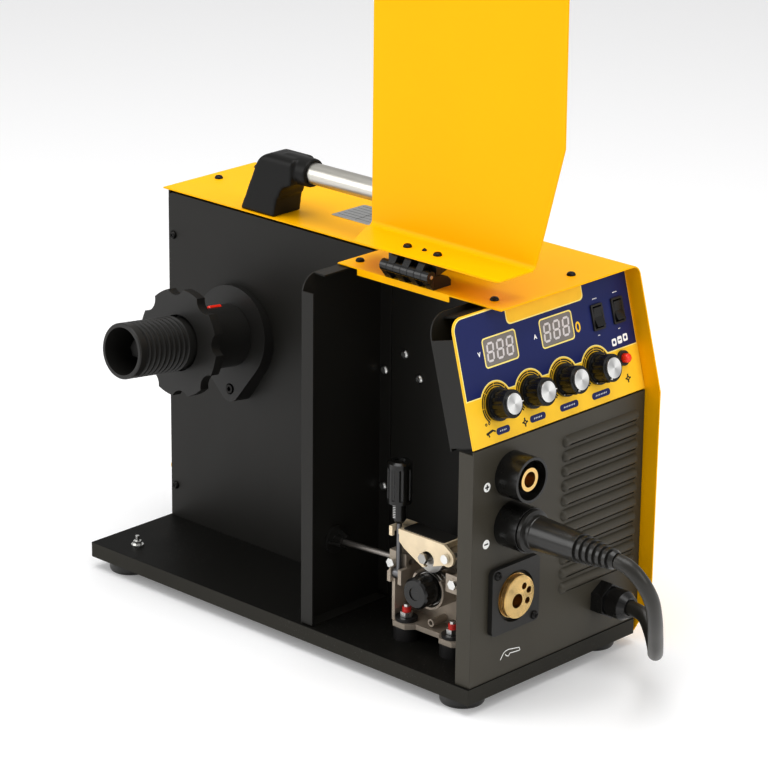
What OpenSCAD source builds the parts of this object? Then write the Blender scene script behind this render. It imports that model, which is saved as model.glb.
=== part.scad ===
// Compact gas-shielded welding machine with a built-in wire feeder and an open spool bay.
// +X is the front with the sockets, -Y is the door side, +Z is up. The origin is on the
// ground, in the middle of the machine's outline. All sizes are millimetres and degrees.
// The door is drawn fully open, as it stands at rest.

/* [Case] */
// Length of the base pan
base_l = 480; // [476:1:490]
// Width of the base pan
base_w = 222; // [220:1:224]
// Height of the case above the base pan
case_h = 328.3; // [326:0.1:332]
// Height of the folded skirt round the base pan
skirt_h = 14.5; // [12:0.5:18]
// Height that the rubber feet show below the skirt
foot_h = 11; // [8:0.5:14]
// Thickness of the black chassis sheet
sheet = 1.5; // [1.2:0.1:1.6]
// Thickness of the yellow cover and door sheet
skin = 1.2; // [1:0.1:1.4]
// Width of the open bays beside the electronics
bay_w = 103.3; // [102:0.1:104]
// Length of the spool bay behind the cross wall
bay_l = 276; // [274:1:278]
// How far the cover and the door stand out past the front panel
overhang = 15.5; // [14:0.5:18]
// Backward lean of the control panel
tilt = 14.8; // [14:0.1:16]
// Height of the seam between the two front panels above the base pan
seam_h = 217; // [215:1:219]

/* [Spool hub] */
// Upward lean of the hub, so that a spool stays on
hub_tilt = 7; // [5:0.5:8]
// Length of the hub from the divider
hub_len = 147.7; // [144:0.1:150]
// Outer diameter of the hub's thread
thread_d = 51.2; // [50:0.1:51.6]
// Diameter of the star nut
star_d = 100; // [96:1:104]

/* [Wire drive] */
// Diameter of the grooved drive roll
roll_d = 30; // [29:0.5:30]
// Diameter of the pressure roller
press_d = 31; // [30:0.5:31]

/* [Front sockets] */
// Outer diameter of a welding socket's housing
socket_d = 40.4; // [39:0.1:41]
// Hole in a socket's brass contact
contact_d = 13.8; // [13:0.1:14]
// Diameter of the polarity lead
lead_d = 13.4; // [12:0.1:13.4]

/* [Controls] */
// Distance between two control knobs
knob_pitch = 43.2; // [42:0.1:44]
// Diameter of a control knob's skirt
knob_d = 29; // [26:0.5:30]

/* [Hidden] */
$fn = 64;

// ---- places that everything is hung from
front_x = base_l / 2;
rear_x = -base_l / 2;
base_y = 20;
left_y = base_y - base_w / 2;
deck_z = foot_h + skirt_h;
top_z = deck_z + case_h;
divider_y = left_y + bay_w;
wall_x = rear_x + bay_l;
panel_x = front_x - 1;
seam_z = deck_z + seam_h;
side_y = left_y + base_w + 6.5;
nose_x = front_x + overhang;
crown_x = nose_x - (top_z - seam_z) * tan(tilt);
tab_y = left_y + 47;
folds_y = left_y + 3;
rear_lip = 3.5;

// ---- spool hub
hub_at = [rear_x + 94, divider_y, deck_z + 206.1];
hub_seat = 12;
barrel_r = 29.3;
barrel_end = 67.2;
star_z = 67.7;
star_t = 10;
hollow_z = 92;
thread_pitch = 6.1;
lobe_at = [7, -50];
pin_at = [-0.5, 28.2, 26.5];
axle_r = 5;

// ---- door hinge
axis_y = left_y + 44;
hinge_up = 12.2;
axis_z = top_z + hinge_up;
hinge_x = 122;
knuckle_l = 8;
knuckles = 7;
knuckle_r = 5.3;
pin_r = 1.7;

// ---- wire drive
wire_y = left_y + 50;
wire_z = deck_z + 71;
roll_x = front_x - 87;
roll_z = wire_z - roll_d / 2;
press_z = wire_z + press_d / 2 + 0.2;
pivot_at = [front_x - 61.5, deck_z + 93.3];
arm_top = 130.5;
rod_at = [front_x - 122.5, left_y + 43, deck_z + 60.5];
stud_x = [front_x - 116, front_x - 61];
stud_y = left_y + 47;
clamp_bolts = [[107, left_y + 46.5, 92.5, 1.8], [186, left_y + 40, 96.5, 6]];
washer_r = 10;
guide_yaw = 6.3;
guide_at = [wall_x + sheet, left_y + 43.5, deck_z + 70];
motor_r = 26;

// ---- front
plug_y = left_y + 50;
plus_z = deck_z + 185.5;
minus_z = deck_z + 140;
rim_x = front_x + 23;
torch_y = left_y + 55;
torch_z = deck_z + 73;
gland_y = left_y + 176;
gland_z = deck_z + 34;
mains_y = 105;
mains_z = 62;
plug_end = front_x + 118;
lead_route = [[plug_end, plug_y, minus_z], [371, -40, 162], [381, -35, 150], [383, -25, 132],
    [376, -11, 109], [364, 6, 86], [349, 26, 62], [333, 46, 47], [317, 65, 42], [302, 78, 48],
    [289, 84, 57], [front_x + 34, gland_y, gland_z], [front_x + 20, gland_y, gland_z]];

// ---- controls, in the control panel's own plane: along Y, and up the slope
knob_y = left_y + 39.5;
knob_t = 32.5;
display_y = [left_y + 55.2, left_y + 127.7];
display_t = 76.6;
display = [40, 23.5];
rocker_y = [left_y + 181, left_y + 208];
rocker_t = 75.4;
rocker = [15, 23];
button_y = left_y + 204;
button_t = 33.3;
shaft_r = 3;
trunnion_r = 1.2;
trunnion_l = 0.5;

// ---- screws
screw_r = 2;
screw_hole = 2.1;
top_screws = [[-228, 67.7], [-228, 120], [47.5, -27.2], [203.7, -26.5], [204, 72.3]];
side_screws = [[-215, 40], [0, 40], [205, 40], [-215, 300], [190, 300]];
divider_screws = [[-232.5, 309], [-232.5, 57.6], [66, 263], [84, 244]];
flange_screws = [[wall_x + 7, 243], [wall_x + 7, 132]];
torch_screws = [[-24, 25], [24, -25]];

// ---- helpers
function arc(c, r, a0, a1, n = 8) =
    [for (i = [0 : n]) c + r * [cos(a0 + (a1 - a0) * i / n), sin(a0 + (a1 - a0) * i / n)]];
module plate_xz(y, t) { translate([0, y + t, 0]) rotate([90, 0, 0]) linear_extrude(t) children(); }
module plate_yz(x, t) { translate([x, 0, 0]) rotate([90, 0, 90]) linear_extrude(t) children(); }
module rod_x(p, l, r, r2 = 0) {
    translate(p) rotate([0, 90, 0]) cylinder(h = l, r1 = r, r2 = r2 > 0 ? r2 : r);
}
module rod_y(p, l, r, r2 = 0) {
    translate(p) rotate([-90, 0, 0]) cylinder(h = l, r1 = r, r2 = r2 > 0 ? r2 : r);
}
module block(low, high) { translate(low) cube(high - low); }
// The control panel's plane: x stands out of it, y runs along it, z climbs it
module on_slope() { translate([panel_x, 0, seam_z]) rotate([0, -tilt, 0]) children(); }
// The spool hub's line: z runs out of the divider
module on_hub() { translate(hub_at) rotate([90 - hub_tilt, 0, 0]) children(); }
module on_guide() { translate(guide_at) rotate([0, 0, guide_yaw]) children(); }
// Turns what is drawn shut into its place on the open door
module swung_open() {
    translate([0, axis_y, axis_z]) rotate([180, 0, 0]) translate([0, -axis_y, -axis_z]) children();
}
module rounded_rect(size, r) {
    x = size[0] / 2 - r;
    y = size[1] / 2 - r;
    polygon(concat(arc([x, y], r, 0, 90), arc([-x, y], r, 90, 180),
        arc([-x, -y], r, 180, 270), arc([x, -y], r, 270, 360)));
}
module pan_screw(l) {
    cylinder(h = l, r = screw_r);
    translate([0, 0, l]) cylinder(h = 1.2, r = 4);
    translate([0, 0, l + 1.2]) cylinder(h = 1.3, r1 = 4, r2 = 2.6);
}
module hex(d, h) { cylinder(h = h, r = d / 2, $fn = 6); }

// ---- chassis
module base_pan() {
    color("#2b2a28") difference() {
        block([rear_x, left_y, foot_h], [front_x, left_y + base_w, deck_z]);
        block([rear_x + sheet, left_y + sheet, foot_h - 1],
            [front_x - sheet, left_y + base_w - sheet, deck_z - sheet]);
        for (x = stud_x) translate([x, stud_y, foot_h]) cylinder(h = 20, r = 3.1);
    }
}
module rubber_feet() {
    color("#1c1c1b") for (x = [-212, 212], y = [base_y - 87, base_y + 87]) translate([x, y, 0])
        rotate_extrude() polygon([[6, 0], [18, 0], [19, 0.4], [19.6, 1.4], [20, 3],
            [20, deck_z - sheet], [3, deck_z - sheet], [3, 6], [6, 6]]);
}
module divider() {
    back = panel_x - 27.4 / cos(tilt) - 2;
    low = seam_z - 14;
    high = top_z - 3.8;
    color("#2b2a28") difference() {
        union() {
            plate_xz(divider_y, sheet) polygon(concat([[rear_x + sheet, deck_z], [233, deck_z],
                [233, low], [back, low], [back - (high - low) * tan(tilt), high]],
                arc([rear_x + sheet + 6, high - 6], 6, 90, 180)));
            block([rear_x + sheet, divider_y, deck_z + 2], [rear_x + 2 * sheet, divider_y + 13, high - 6]);
            block([rear_x + 8, divider_y, high - sheet], [170, divider_y + 13, high]);
            block([rear_x + 8, divider_y, deck_z], [230, divider_y + 13, deck_z + sheet]);
        }
        rod_y([roll_x, divider_y - 1, roll_z], 5, motor_r + 3);
        for (s = concat(divider_screws, flange_screws)) rod_y([s[0], divider_y - 1, s[1]], 5, screw_hole);
        on_hub() {
            translate([0, 0, -12]) cylinder(h = 30, r = axle_r + 0.5);
            translate([lobe_at[0], lobe_at[1], -12]) cylinder(h = 30, r = 2.6);
        }
    }
}
module cross_wall() {
    high = top_z - 2;
    turn = 16;
    color("#2b2a28") difference() {
        union() {
            plate_yz(wall_x, sheet) polygon(concat([[folds_y, deck_z], [divider_y, deck_z],
                [divider_y, high - 2.5], [divider_y - 2, high - 2.5], [divider_y - 2, high]],
                arc([folds_y + turn, high - turn], turn, 90, 180)));
            block([wall_x, folds_y, deck_z + 1], [wall_x + 14, folds_y + sheet, high - turn + 2]);
            block([wall_x, folds_y + turn - 2, high - sheet], [wall_x + 14, divider_y - 2, high]);
            block([wall_x, folds_y + 4, deck_z], [wall_x + 14, divider_y - 4, deck_z + sheet]);
            block([wall_x, divider_y - sheet, deck_z + 4], [wall_x + 14, divider_y, high - 8]);
        }
        rod_x([wall_x - 1, guide_at[1], guide_at[2]], 5, 11);
        for (s = flange_screws) rod_y([s[0], divider_y - 4, s[1]], 5, screw_hole);
    }
}
module rear_panel() {
    fan = [75, 150];
    color("#2b2a28") difference() {
        union() {
            block([rear_x, divider_y + sheet, deck_z], [rear_x + sheet, side_y - skin - 0.3, top_z - 2]);
            block([rear_x, side_y - skin - 0.3 - sheet, deck_z + 4],
                [rear_x + 14, side_y - skin - 0.3, top_z - 8]);
            block([rear_x, divider_y + 18, top_z - 3.5], [rear_x + 14, side_y - 6, top_z - 2]);
        }
        // Air slots, each as long as the circle is wide there
        for (i = [-7 : 7]) let (z = i * 7, half = sqrt(54 * 54 - z * z))
            block([rear_x - 1, fan[0] - half, fan[1] + z - 1.7], [rear_x + 4, fan[0] + half, fan[1] + z + 1.7]);
        block([rear_x - 1, 58, 270], [rear_x + 4, 92, 306]);
        rod_x([rear_x - 1, mains_y, mains_z], 5, 10.2);
        rod_x([rear_x - 1, 42, mains_z], 5, 6.1);
        for (y = [25, 125], z = [100, 200]) rod_x([rear_x - 1, y, z], 5, screw_hole);
    }
}
module cover() {
    turn = 8;
    rear = rear_x - rear_lip;
    color("#f6c21c") difference() {
        intersection() {
            plate_yz(rear, nose_x - rear) polygon(concat([[tab_y, top_z - skin]],
                [[tab_y, top_z]], arc([side_y - turn, top_z - turn], turn, 90, 0),
                [[side_y, foot_h], [side_y - 6, foot_h], [side_y - 6, foot_h + skin],
                [side_y - skin, foot_h + skin]],
                arc([side_y - turn, top_z - turn], turn - skin, 0, 90)));
            plate_xz(tab_y - 10, 300) side_outline(foot_h, seam_z + 0.9);
        }
        block([rear - 1, tab_y - 1, top_z - 5], [wall_x + 0.5, divider_y - 1.8, top_z + 1]);
        for (s = top_screws) translate([s[0], s[1], top_z - 4]) cylinder(h = 8, r = screw_hole);
        for (s = side_screws) rod_y([s[0], side_y - 5, s[1]], 8, screw_hole);
        for (x = [hinge_x - 17.5, hinge_x + 17.5]) translate([x, axis_y + 16, top_z - 4])
            cylinder(h = 8, r = screw_hole);
        for (x = [-132, -111, 111, 132], y = [24, 38]) translate([x, y, top_z - 4]) cylinder(h = 8, r = 1.5);
    }
    color("#f6c21c") block([60, tab_y, top_z - 6.5], [168, tab_y + skin, top_z - 0.4]);
}
// Side view of the cover and of the shut door: upright nose, leaning above the seam
module side_outline(bottom, kink) {
    rear = rear_x - rear_lip;
    polygon([[rear, bottom], [front_x - 4, bottom], [nose_x - 1.3, deck_z + 20], [nose_x, kink],
        [crown_x, top_z], [rear, top_z]]);
}
module control_housing() {
    d = 27.4;
    color("#2b2a28") on_slope() {
        difference() {
            plate_yz(-d, sheet) polygon(concat([[folds_y, 0.5], [side_y - 3, 0.5], [side_y - 3, 117]],
                arc([folds_y + 20, 97], 20, 90, 180)));
            rod_x([-d - 1, 40, 20], 4, 12);
        }
        block([-d + sheet, folds_y, 3], [-sheet, folds_y + sheet, 96]);
        block([-d + sheet, folds_y + 18, 112.2 - sheet], [-sheet, side_y - 3, 112.2]);
        block([-d + sheet, folds_y + 6, 0.5], [-sheet, side_y - 3, 0.5 + sheet]);
    }
}
module control_panel() {
    color("#23346b") on_slope() difference() {
        plate_yz(-sheet, sheet) polygon(concat([[left_y + 2.6, 0.8], [side_y - skin - 0.4, 0.8],
            [side_y - skin - 0.4, 113]], arc([left_y + 14.6, 101], 12, 90, 180)));
        for (y = display_y) translate([-sheet - 1, y, display_t]) rotate([90, 0, 90])
            linear_extrude(4) rounded_rect(display, 2.5);
        for (i = [0 : 3]) rod_x([-3, knob_y + i * knob_pitch, knob_t], 5, 4);
        for (y = rocker_y) block([-3, y - 6.1, rocker_t - 10.8], [2, y + 6.1, rocker_t + 10.8]);
        rod_x([-3, button_y, button_t], 5, 5.1);
    }
}
module lower_panel() {
    high = seam_z - 0.8;
    hood_y = [left_y + 116, left_y + 216];
    hood_z = deck_z + 59;
    hood_step = 13.65;
    color("#37352f") difference() {
        union() {
            plate_yz(panel_x - sheet, sheet) polygon([[left_y + 2.6, deck_z], [side_y - skin - 0.4, deck_z],
                [side_y - skin - 0.4, high], [left_y + 2.6, high]]);
            block([panel_x - 16.5, left_y + 2.6, deck_z], [panel_x - 1, left_y + 2.6 + sheet, high - 3]);
            // Pressed louvre hoods: a round bar set back in the sheet, with a ball end
            intersection() {
                union() for (i = [0 : 10]) translate([panel_x - 2.5, 0, hood_z + i * hood_step]) {
                    rod_y([0, hood_y[0] + 6, 0], hood_y[1] - hood_y[0] - 6, 6);
                    translate([0, hood_y[0] + 6, 0]) sphere(r = 6);
                }
                block([panel_x - sheet, left_y, deck_z], [front_x + 10, side_y - 2, seam_z]);
            }
        }
        for (i = [0 : 10]) translate([panel_x - 2.5, 0, hood_z + i * hood_step])
            rod_y([0, hood_y[0] + 7, 0], hood_y[1] - hood_y[0] - 9, 4.8);
        for (i = [0 : 10]) block([panel_x - 3, hood_y[0] + 8, hood_z + i * hood_step - 4],
            [front_x + 6, hood_y[1] - 2, hood_z + i * hood_step - 2.4]);
        for (z = [plus_z, minus_z]) rod_x([panel_x - 4, plug_y, z], 8, 15.1);
        rod_x([panel_x - 4, torch_y, torch_z], 8, 17.2);
        rod_x([panel_x - 4, gland_y, gland_z], 8, 10.2);
        for (s = torch_screws) rod_x([panel_x - 4, torch_y + s[0], torch_z + s[1]], 8, screw_hole);
    }
}
// Every black pan-head screw that shows on the cover, the divider and the torch flange
module case_screws() {
    color("#1b1b1b") {
        for (s = top_screws) translate([s[0], s[1], top_z - 1.9]) pan_screw(1.9);
        for (s = side_screws) translate([s[0], side_y - 1.9, s[1]]) rotate([-90, 0, 0]) pan_screw(1.9);
        for (s = torch_screws) translate([front_x + 1.6, torch_y + s[0], torch_z + s[1]])
            rotate([0, 90, 0]) pan_screw(2.4);
        for (y = [25, 125], z = [100, 200]) translate([rear_x + 1.4, y, z]) rotate([0, -90, 0]) pan_screw(1.4);
        for (s = [divider_screws[0], divider_screws[1]]) translate([s[0], divider_y + 2, s[1]])
            rotate([90, 0, 0]) pan_screw(2);
    }
}
module chassis_screws() {
    color("silver") {
        for (i = [2, 3]) translate([divider_screws[i][0], divider_y + 2, divider_screws[i][1]])
            rotate([90, 0, 0]) pan_screw(2);
        for (s = flange_screws) translate([s[0], divider_y + 2, s[1]]) rotate([90, 0, 0]) pan_screw(2 + sheet);
        translate([rear_x + 36.3, left_y + 25.4, deck_z]) {
            cylinder(h = 1.4, r = 6);
            translate([0, 0, 1.4]) hex(8.2, 3.4);
            translate([0, 0, 4.8]) cylinder(h = 5, r = 2);
        }
    }
}

// ---- door hinge: the fixed leaf has four knuckles, the moving leaf three
module knuckle_rows(first, side) {
    x0 = hinge_x - knuckles * knuckle_l / 2;
    for (i = [first : 2 : knuckles - 1]) {
        a = x0 + i * knuckle_l + 0.2;
        rod_x([a, 0, 0], knuckle_l - 0.4, knuckle_r);
        plate_yz(a, knuckle_l - 0.4) polygon([[-4.6, -2.4 * side], [3, -hinge_up * side],
            [6.6, -hinge_up * side], [6.6, -0.3 * side], [0, 0]]);
    }
    plate_yz(x0 + 0.2, knuckles * knuckle_l - 0.4) polygon([[6.4, -0.3 * side], [6.4, -hinge_up * side],
        [25, -hinge_up * side], [25, -7 * side], [21, -3.4 * side], [12, -0.3 * side]]);
}
module hinge_leaf_fixed() {
    color("#1d1d1d") difference() {
        translate([0, axis_y, axis_z]) knuckle_rows(0, 1);
        rod_x([hinge_x - 40, axis_y, axis_z], 80, pin_r + 0.05);
        for (x = [-17.5, 17.5]) translate([hinge_x + x, axis_y + 16, top_z - 1]) cylinder(h = 20, r = screw_hole);
    }
}
module hinge_leaf_moving() {
    color("#1d1d1d") difference() {
        translate([0, axis_y, axis_z]) knuckle_rows(1, -1);
        rod_x([hinge_x - 40, axis_y, axis_z], 80, pin_r + 0.05);
        for (x = [-17.5, 17.5]) translate([hinge_x + x, axis_y + 19, axis_z + 0.2]) cylinder(h = 20, r = screw_hole);
    }
}
module hinge_pin() {
    color("silver") rod_x([hinge_x - knuckles * knuckle_l / 2 - 0.4, axis_y, axis_z],
        knuckles * knuckle_l + 0.8, pin_r);
}

// ---- carrying handle
module handle_brackets() {
    grip_y = divider_y + 18.7;
    grip_z = top_z + 44.7;
    collar_r = 13.4;
    color("#1c1c1c") for (side = [-1, 1]) difference() {
        union() {
            intersection() {
                plate_xz(divider_y, 38) polygon(concat(
                    [[side * 143, top_z], [side * 100, top_z], [side * 97, grip_z - 26]],
                    [for (p = arc([83, grip_z - 26], 12, 0, 80, 4)) [side * p[0], p[1]]],
                    [[side * 80, grip_z - 12], [side * 80, grip_z + 12.4]],
                    [for (p = arc([108, grip_z - 6.6], 19, 90, 15, 6)) [side * p[0], p[1]]]));
                plate_yz(-150, 300) polygon(concat([[divider_y + 0.2, top_z], [divider_y + 36, top_z]],
                    arc([grip_y + 8.6, grip_z + 5], 7.4, 0, 90, 5), arc([grip_y - 8, grip_z + 5], 7.4, 90, 180, 5)));
            }
            rod_x([side > 0 ? 66 : -100, grip_y, grip_z], 34, collar_r);
        }
        rod_x([-105, grip_y, grip_z], 210, 10.05);
        for (x = [111, 132], y = [24, 38]) translate([side * x, y, top_z - 1]) cylinder(h = 9, r = 1.5);
    }
}
module handle_tube() {
    color("#d8d8d4") difference() {
        rod_x([-104, divider_y + 18.7, top_z + 44.7], 208, 10);
        rod_x([-105, divider_y + 18.7, top_z + 44.7], 210, 8.5);
    }
}

// ---- spool hub
// Outline of a disc with a smaller lobe at c, as one line of tangent arcs
module teardrop(r, lobe_r, c) {
    lean = atan2(c[1], c[0]);
    open = acos((r - lobe_r) / norm(c));
    polygon(concat(arc([0, 0], r, lean + open, lean + 360 - open, 48), arc(c, lobe_r, lean - open, lean + open, 16)));
}
module hub_flange() {
    color("#1e1e1d") difference() {
        intersection() {
            on_hub() translate([0, 0, -12]) linear_extrude(12 + hub_seat) teardrop(46.6, 12, lobe_at);
            block([hub_at[0] - 80, divider_y - 60, hub_at[2] - 90], [hub_at[0] + 80, divider_y, hub_at[2] + 80]);
        }
        on_hub() {
            translate([0, 0, -20]) cylinder(h = 40, r = axle_r + 0.5);
            translate([lobe_at[0], lobe_at[1], -20]) {
                cylinder(h = 50, r = 2.6);
                translate([0, 0, 28]) cylinder(h = 10, r = 5.2);
            }
        }
    }
}
// The axle bolt that the hub turns on, its nut, and the screw that keeps the flange from turning
module hub_bolts() {
    color("silver") on_hub() {
        translate([0, 0, -16]) cylinder(h = 146, r = axle_r);
        translate([0, 0, 122]) difference() { hex(17, 7); translate([0, 0, -1]) cylinder(h = 9, r = axle_r); }
        translate([lobe_at[0], lobe_at[1], -10]) {
            cylinder(h = 18, r = 2.5);
            difference() {
                translate([0, 0, 18]) cylinder(h = 5.2, r = 4.2);
                translate([0, 0, 21]) hex(4.6, 3);
            }
        }
    }
}
module brake_spring() {
    color("gray") on_hub() translate([0, 0, hollow_z + 0.6]) difference() {
        cylinder(h = 29, r = 9.5);
        for (i = [0 : 6]) translate([0, 0, 2.2 + i * 4]) difference() {
            cylinder(h = 1.8, r = 12);
            translate([0, 0, -1]) cylinder(h = 4, r = 8);
        }
        translate([0, 0, -1]) cylinder(h = 32, r = 6.4);
    }
}
module spool_hub() {
    r = thread_d / 2;
    root = r - 2.2;
    turns = floor((hub_len - 9 - star_z - star_t - 2) / thread_pitch);
    color("#232322") on_hub() difference() {
        rotate_extrude() polygon(concat(
            [[axle_r + 0.05, hub_seat + 0.4], [barrel_r, hub_seat + 0.4], [barrel_r, barrel_end - 1],
                [barrel_r - 1, barrel_end], [root, barrel_end]],
            // Thread ridges, from the inner end outwards
            [for (i = [0 : turns - 1], p = [[root, 0], [r, 1.3], [r, 3], [root, 4.3]])
                [p[0], hub_len - 9 - (turns - i) * thread_pitch + p[1]]],
            [[root, hub_len - 9], [r, hub_len - 8.4], [r, hub_len - 1], [r - 1, hub_len], [21.8, hub_len],
                [21.8, hollow_z], [axle_r + 0.05, hollow_z]]));
        translate([pin_at[0], pin_at[1], pin_at[2] - 0.5]) cylinder(h = 28, r = 2.65);
    }
}
module hub_pin() {
    color("#d63022") on_hub() translate(pin_at) {
        cylinder(h = 14, r = 2.6);
        translate([0, 0, 14]) cylinder(h = 1.6, r1 = 2.6, r2 = 1.6);
    }
}
module star_nut() {
    color("#232322") on_hub() translate([0, 0, star_z]) difference() {
        cylinder(h = star_t, r = star_d / 2);
        translate([0, 0, -1]) cylinder(h = star_t + 4, r = thread_d / 2 + 0.35);
        for (i = [0 : 7]) rotate(i * 45 + 10) translate([star_d / 2 + 6, 0, -1]) cylinder(h = star_t + 4, r = 12);
    }
}

// ---- wire path
module inlet_grommet() {
    color("#1c1c1c") difference() {
        union() {
            rod_x([wall_x + sheet, guide_at[1], guide_at[2]], 3, 12.6);
            rod_x([wall_x - 3, guide_at[1], guide_at[2]], 5, 10.9);
            rod_x([wall_x - 3, guide_at[1], guide_at[2]], 3, 12.6);
            for (a = [90, 210, 330]) translate([wall_x + sheet + 3, guide_at[1], guide_at[2]]) rotate([a, 0, 0])
                plate_xz(-1.2, 2.4) polygon([[-1, 4], [-1, 9.4], [2, 9.4], [11, 7], [11, 4]]);
            rod_x([wall_x + sheet + 3, guide_at[1], guide_at[2]], 9, 5);
        }
        on_guide() rod_x([-30, 0, 0], 70, 2.9);
    }
}
module inlet_tube() {
    color("#8f8b84") on_guide() difference() {
        rod_x([-12, 0, 0], 83, 2.8);
        rod_x([-13, 0, 0], 85, 1.2);
    }
}
module feed_body() {
    back = wire_y + 16;
    lip = left_y + 40;
    foot = deck_z + 12;
    color("#b9ad9c") {
        difference() {
            union() {
                plate_xz(back, 8) polygon([[112.5, foot], [191, foot], [191, 124], [170, 124],
                    [160, 119], [140, 119], [112.5, 106]]);
                // Foot shelf with a lug under each stud
                translate([0, 0, foot]) linear_extrude(5) polygon([[112.5, back + 1], [112.5, lip + 1],
                    [117, lip - 3.5], [131.5, lip - 3.5], [138, lip + 4], [166, lip + 4],
                    [172, lip - 3.5], [187, lip - 3.5], [191, lip], [191, back + 1]]);
                block([112.5, lip, foot + 4], [116, back + 1, 88]);
                block([187, lip + 6, foot + 4], [191, back + 1, 88]);
                // Clamp blocks for the inlet tube and the outlet tube
                block([103, lip + 6.5, 86], [124, back + 1, 104]);
                block([176, lip, 87], [191, back + 1, 104]);
                // Ring guard round the drive roll
                rod_y([roll_x, wire_y - 8, roll_z], back - wire_y + 9, roll_d / 2 + 4);
                rod_y([pivot_at[0], wire_y + 11.4, pivot_at[1]], 6, 7.5);
                for (p = [[124, 70], [152, 47]]) rod_y([p[0], lip + 8, p[1]], back - lip - 7, 3.6);
                // Ears that hold the tension rod's foot
                for (x = [rod_at[0] - 8.4, rod_at[0] + 4.4]) block([x, lip - 3, 78], [x + 4, lip + 10, 92]);
            }
            rod_y([roll_x, wire_y - 9, roll_z], 17, roll_d / 2 + 1.8);
            rod_y([roll_x, wire_y, roll_z], 30, 6.5);
            block([roll_x - 30, wire_y - 9, wire_z - 4], [roll_x + 30, wire_y + 15, wire_z + 20]);
            rod_x([rod_at[0] - 4.4, rod_at[1], rod_at[2]], 8.8, 5.4);
            on_guide() rod_x([40, 0, 0], 60, 2.85);
            rod_x([170, wire_y, wire_z], 40, 2.85);
            for (x = stud_x) translate([x, stud_y, foot - 2]) {
                cylinder(h = 12, r = 6.3);
                translate([0, 0, 7]) cylinder(h = 9.5, r = washer_r + 0.4);
            }
            for (p = [[124, 70], [152, 47]]) rod_y([p[0], lip + 7, p[1]], 12, 1.9);
            for (b = clamp_bolts) rod_y([b[0], b[1] - 1, b[2]], b[3] + 1.2, 2.55);
            rod_y([pivot_at[0], wire_y + 10, pivot_at[1]], 20, 2.55);
            // Room for the first clamp bolt's head beside the rod's ear
            rod_y([clamp_bolts[0][0], lip - 4, clamp_bolts[0][2]], 10.5, 5);
        }
        rod_x([rod_at[0] - 8, rod_at[1], rod_at[2]], 16, 2);
    }
}
// Studs with their nuts, the two bolts that clamp the tubes, and the pressure arm's pivot
module feed_studs() {
    color("silver") {
        for (x = stud_x) translate([x, stud_y, 0]) {
            translate([0, 0, deck_z - 6.3]) cylinder(h = 38.5, r = 3);
            for (z = [deck_z - 6.3, deck_z + 20.4]) translate([0, 0, z]) difference() {
                hex(11.5, 4.6);
                translate([0, 0, -1]) cylinder(h = 8, r = 2.9);
            }
        }
        for (b = clamp_bolts) {
            rod_y([b[0], b[1], b[2]], b[3], 2.5);
            translate([b[0], b[1], b[2]]) rotate([90, 0, 0]) hex(9.4, 4);
        }
        rod_y([pivot_at[0], left_y + 37, pivot_at[1]], 30, 2.5);
        rod_y([pivot_at[0], left_y + 34.4, pivot_at[1]], 3, 4.2);
    }
}
// Insulating washers below and above each lug, and the red sleeve on each stud
module feed_insulators() {
    color("#c8201c") for (x = stud_x) translate([x, stud_y, 0]) difference() {
        union() {
            translate([0, 0, deck_z]) cylinder(h = 12, r = 11.5);
            translate([0, 0, deck_z + 11]) cylinder(h = 7, r = 6);
            translate([0, 0, deck_z + 17.2]) cylinder(h = 3, r = washer_r);
        }
        translate([0, 0, deck_z - 1]) cylinder(h = 24, r = 3.05);
    }
    color("#c8201c") for (x = stud_x) translate([x, stud_y, deck_z + 25]) difference() {
        cylinder(h = 4.6, r = 4);
        translate([0, 0, -1]) cylinder(h = 8, r = 3.05);
    }
}
module gear_motor() {
    color("#3c3c3e") difference() {
        union() {
            rod_y([roll_x, wire_y + 24, roll_z], 18, 28);
            rod_y([roll_x, wire_y + 42, roll_z], 74, motor_r);
            rod_y([roll_x, wire_y + 116, roll_z], 5, 10);
        }
        rod_y([roll_x, wire_y + 20, roll_z], 16, 5.05);
    }
}
module outlet_tube() {
    color("#8f8b84") difference() {
        rod_x([177, wire_y, wire_z], panel_x - 16 - 177, 2.8);
        rod_x([176, wire_y, wire_z], 70, 1.2);
    }
}

// ---- pressure arm: a cast yoke over both sides of the roller
module pressure_arm() {
    lip = left_y + 38;
    tip = arc(pivot_at, 8, -110, 60);
    color("#d9c6a8") difference() {
        union() {
            plate_xz(lip, 3) polygon(concat([[122, arm_top], [122, 119], [128, 114], [150, 102.5],
                [173, 110.4]], tip, [[175, arm_top]]));
            plate_xz(wire_y + 8, 3) polygon(concat([[128, arm_top], [128, 116], [148, 104], [173, 110.4]],
                tip, [[175, arm_top]]));
            block([110, lip, arm_top - 5], [175, wire_y + 11, arm_top]);
            block([110, lip, arm_top - 9], [rod_at[0] - 3, lip + 3, arm_top - 4]);
        }
        block([rod_at[0] - 3.7, lip - 1, arm_top - 14], [rod_at[0] + 3.7, rod_at[1] + 4.5, arm_top + 1]);
        rod_y([pivot_at[0], lip - 1, pivot_at[1]], 30, 2.55);
        rod_y([roll_x + 3, lip - 1, press_z - 1], 6, 7.6);
        rod_y([roll_x, wire_y - 7, press_z], 14, press_d / 2 + 0.8);
        rod_y([roll_x, wire_y + 7, press_z], 6, 3.05);
    }
}
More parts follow.
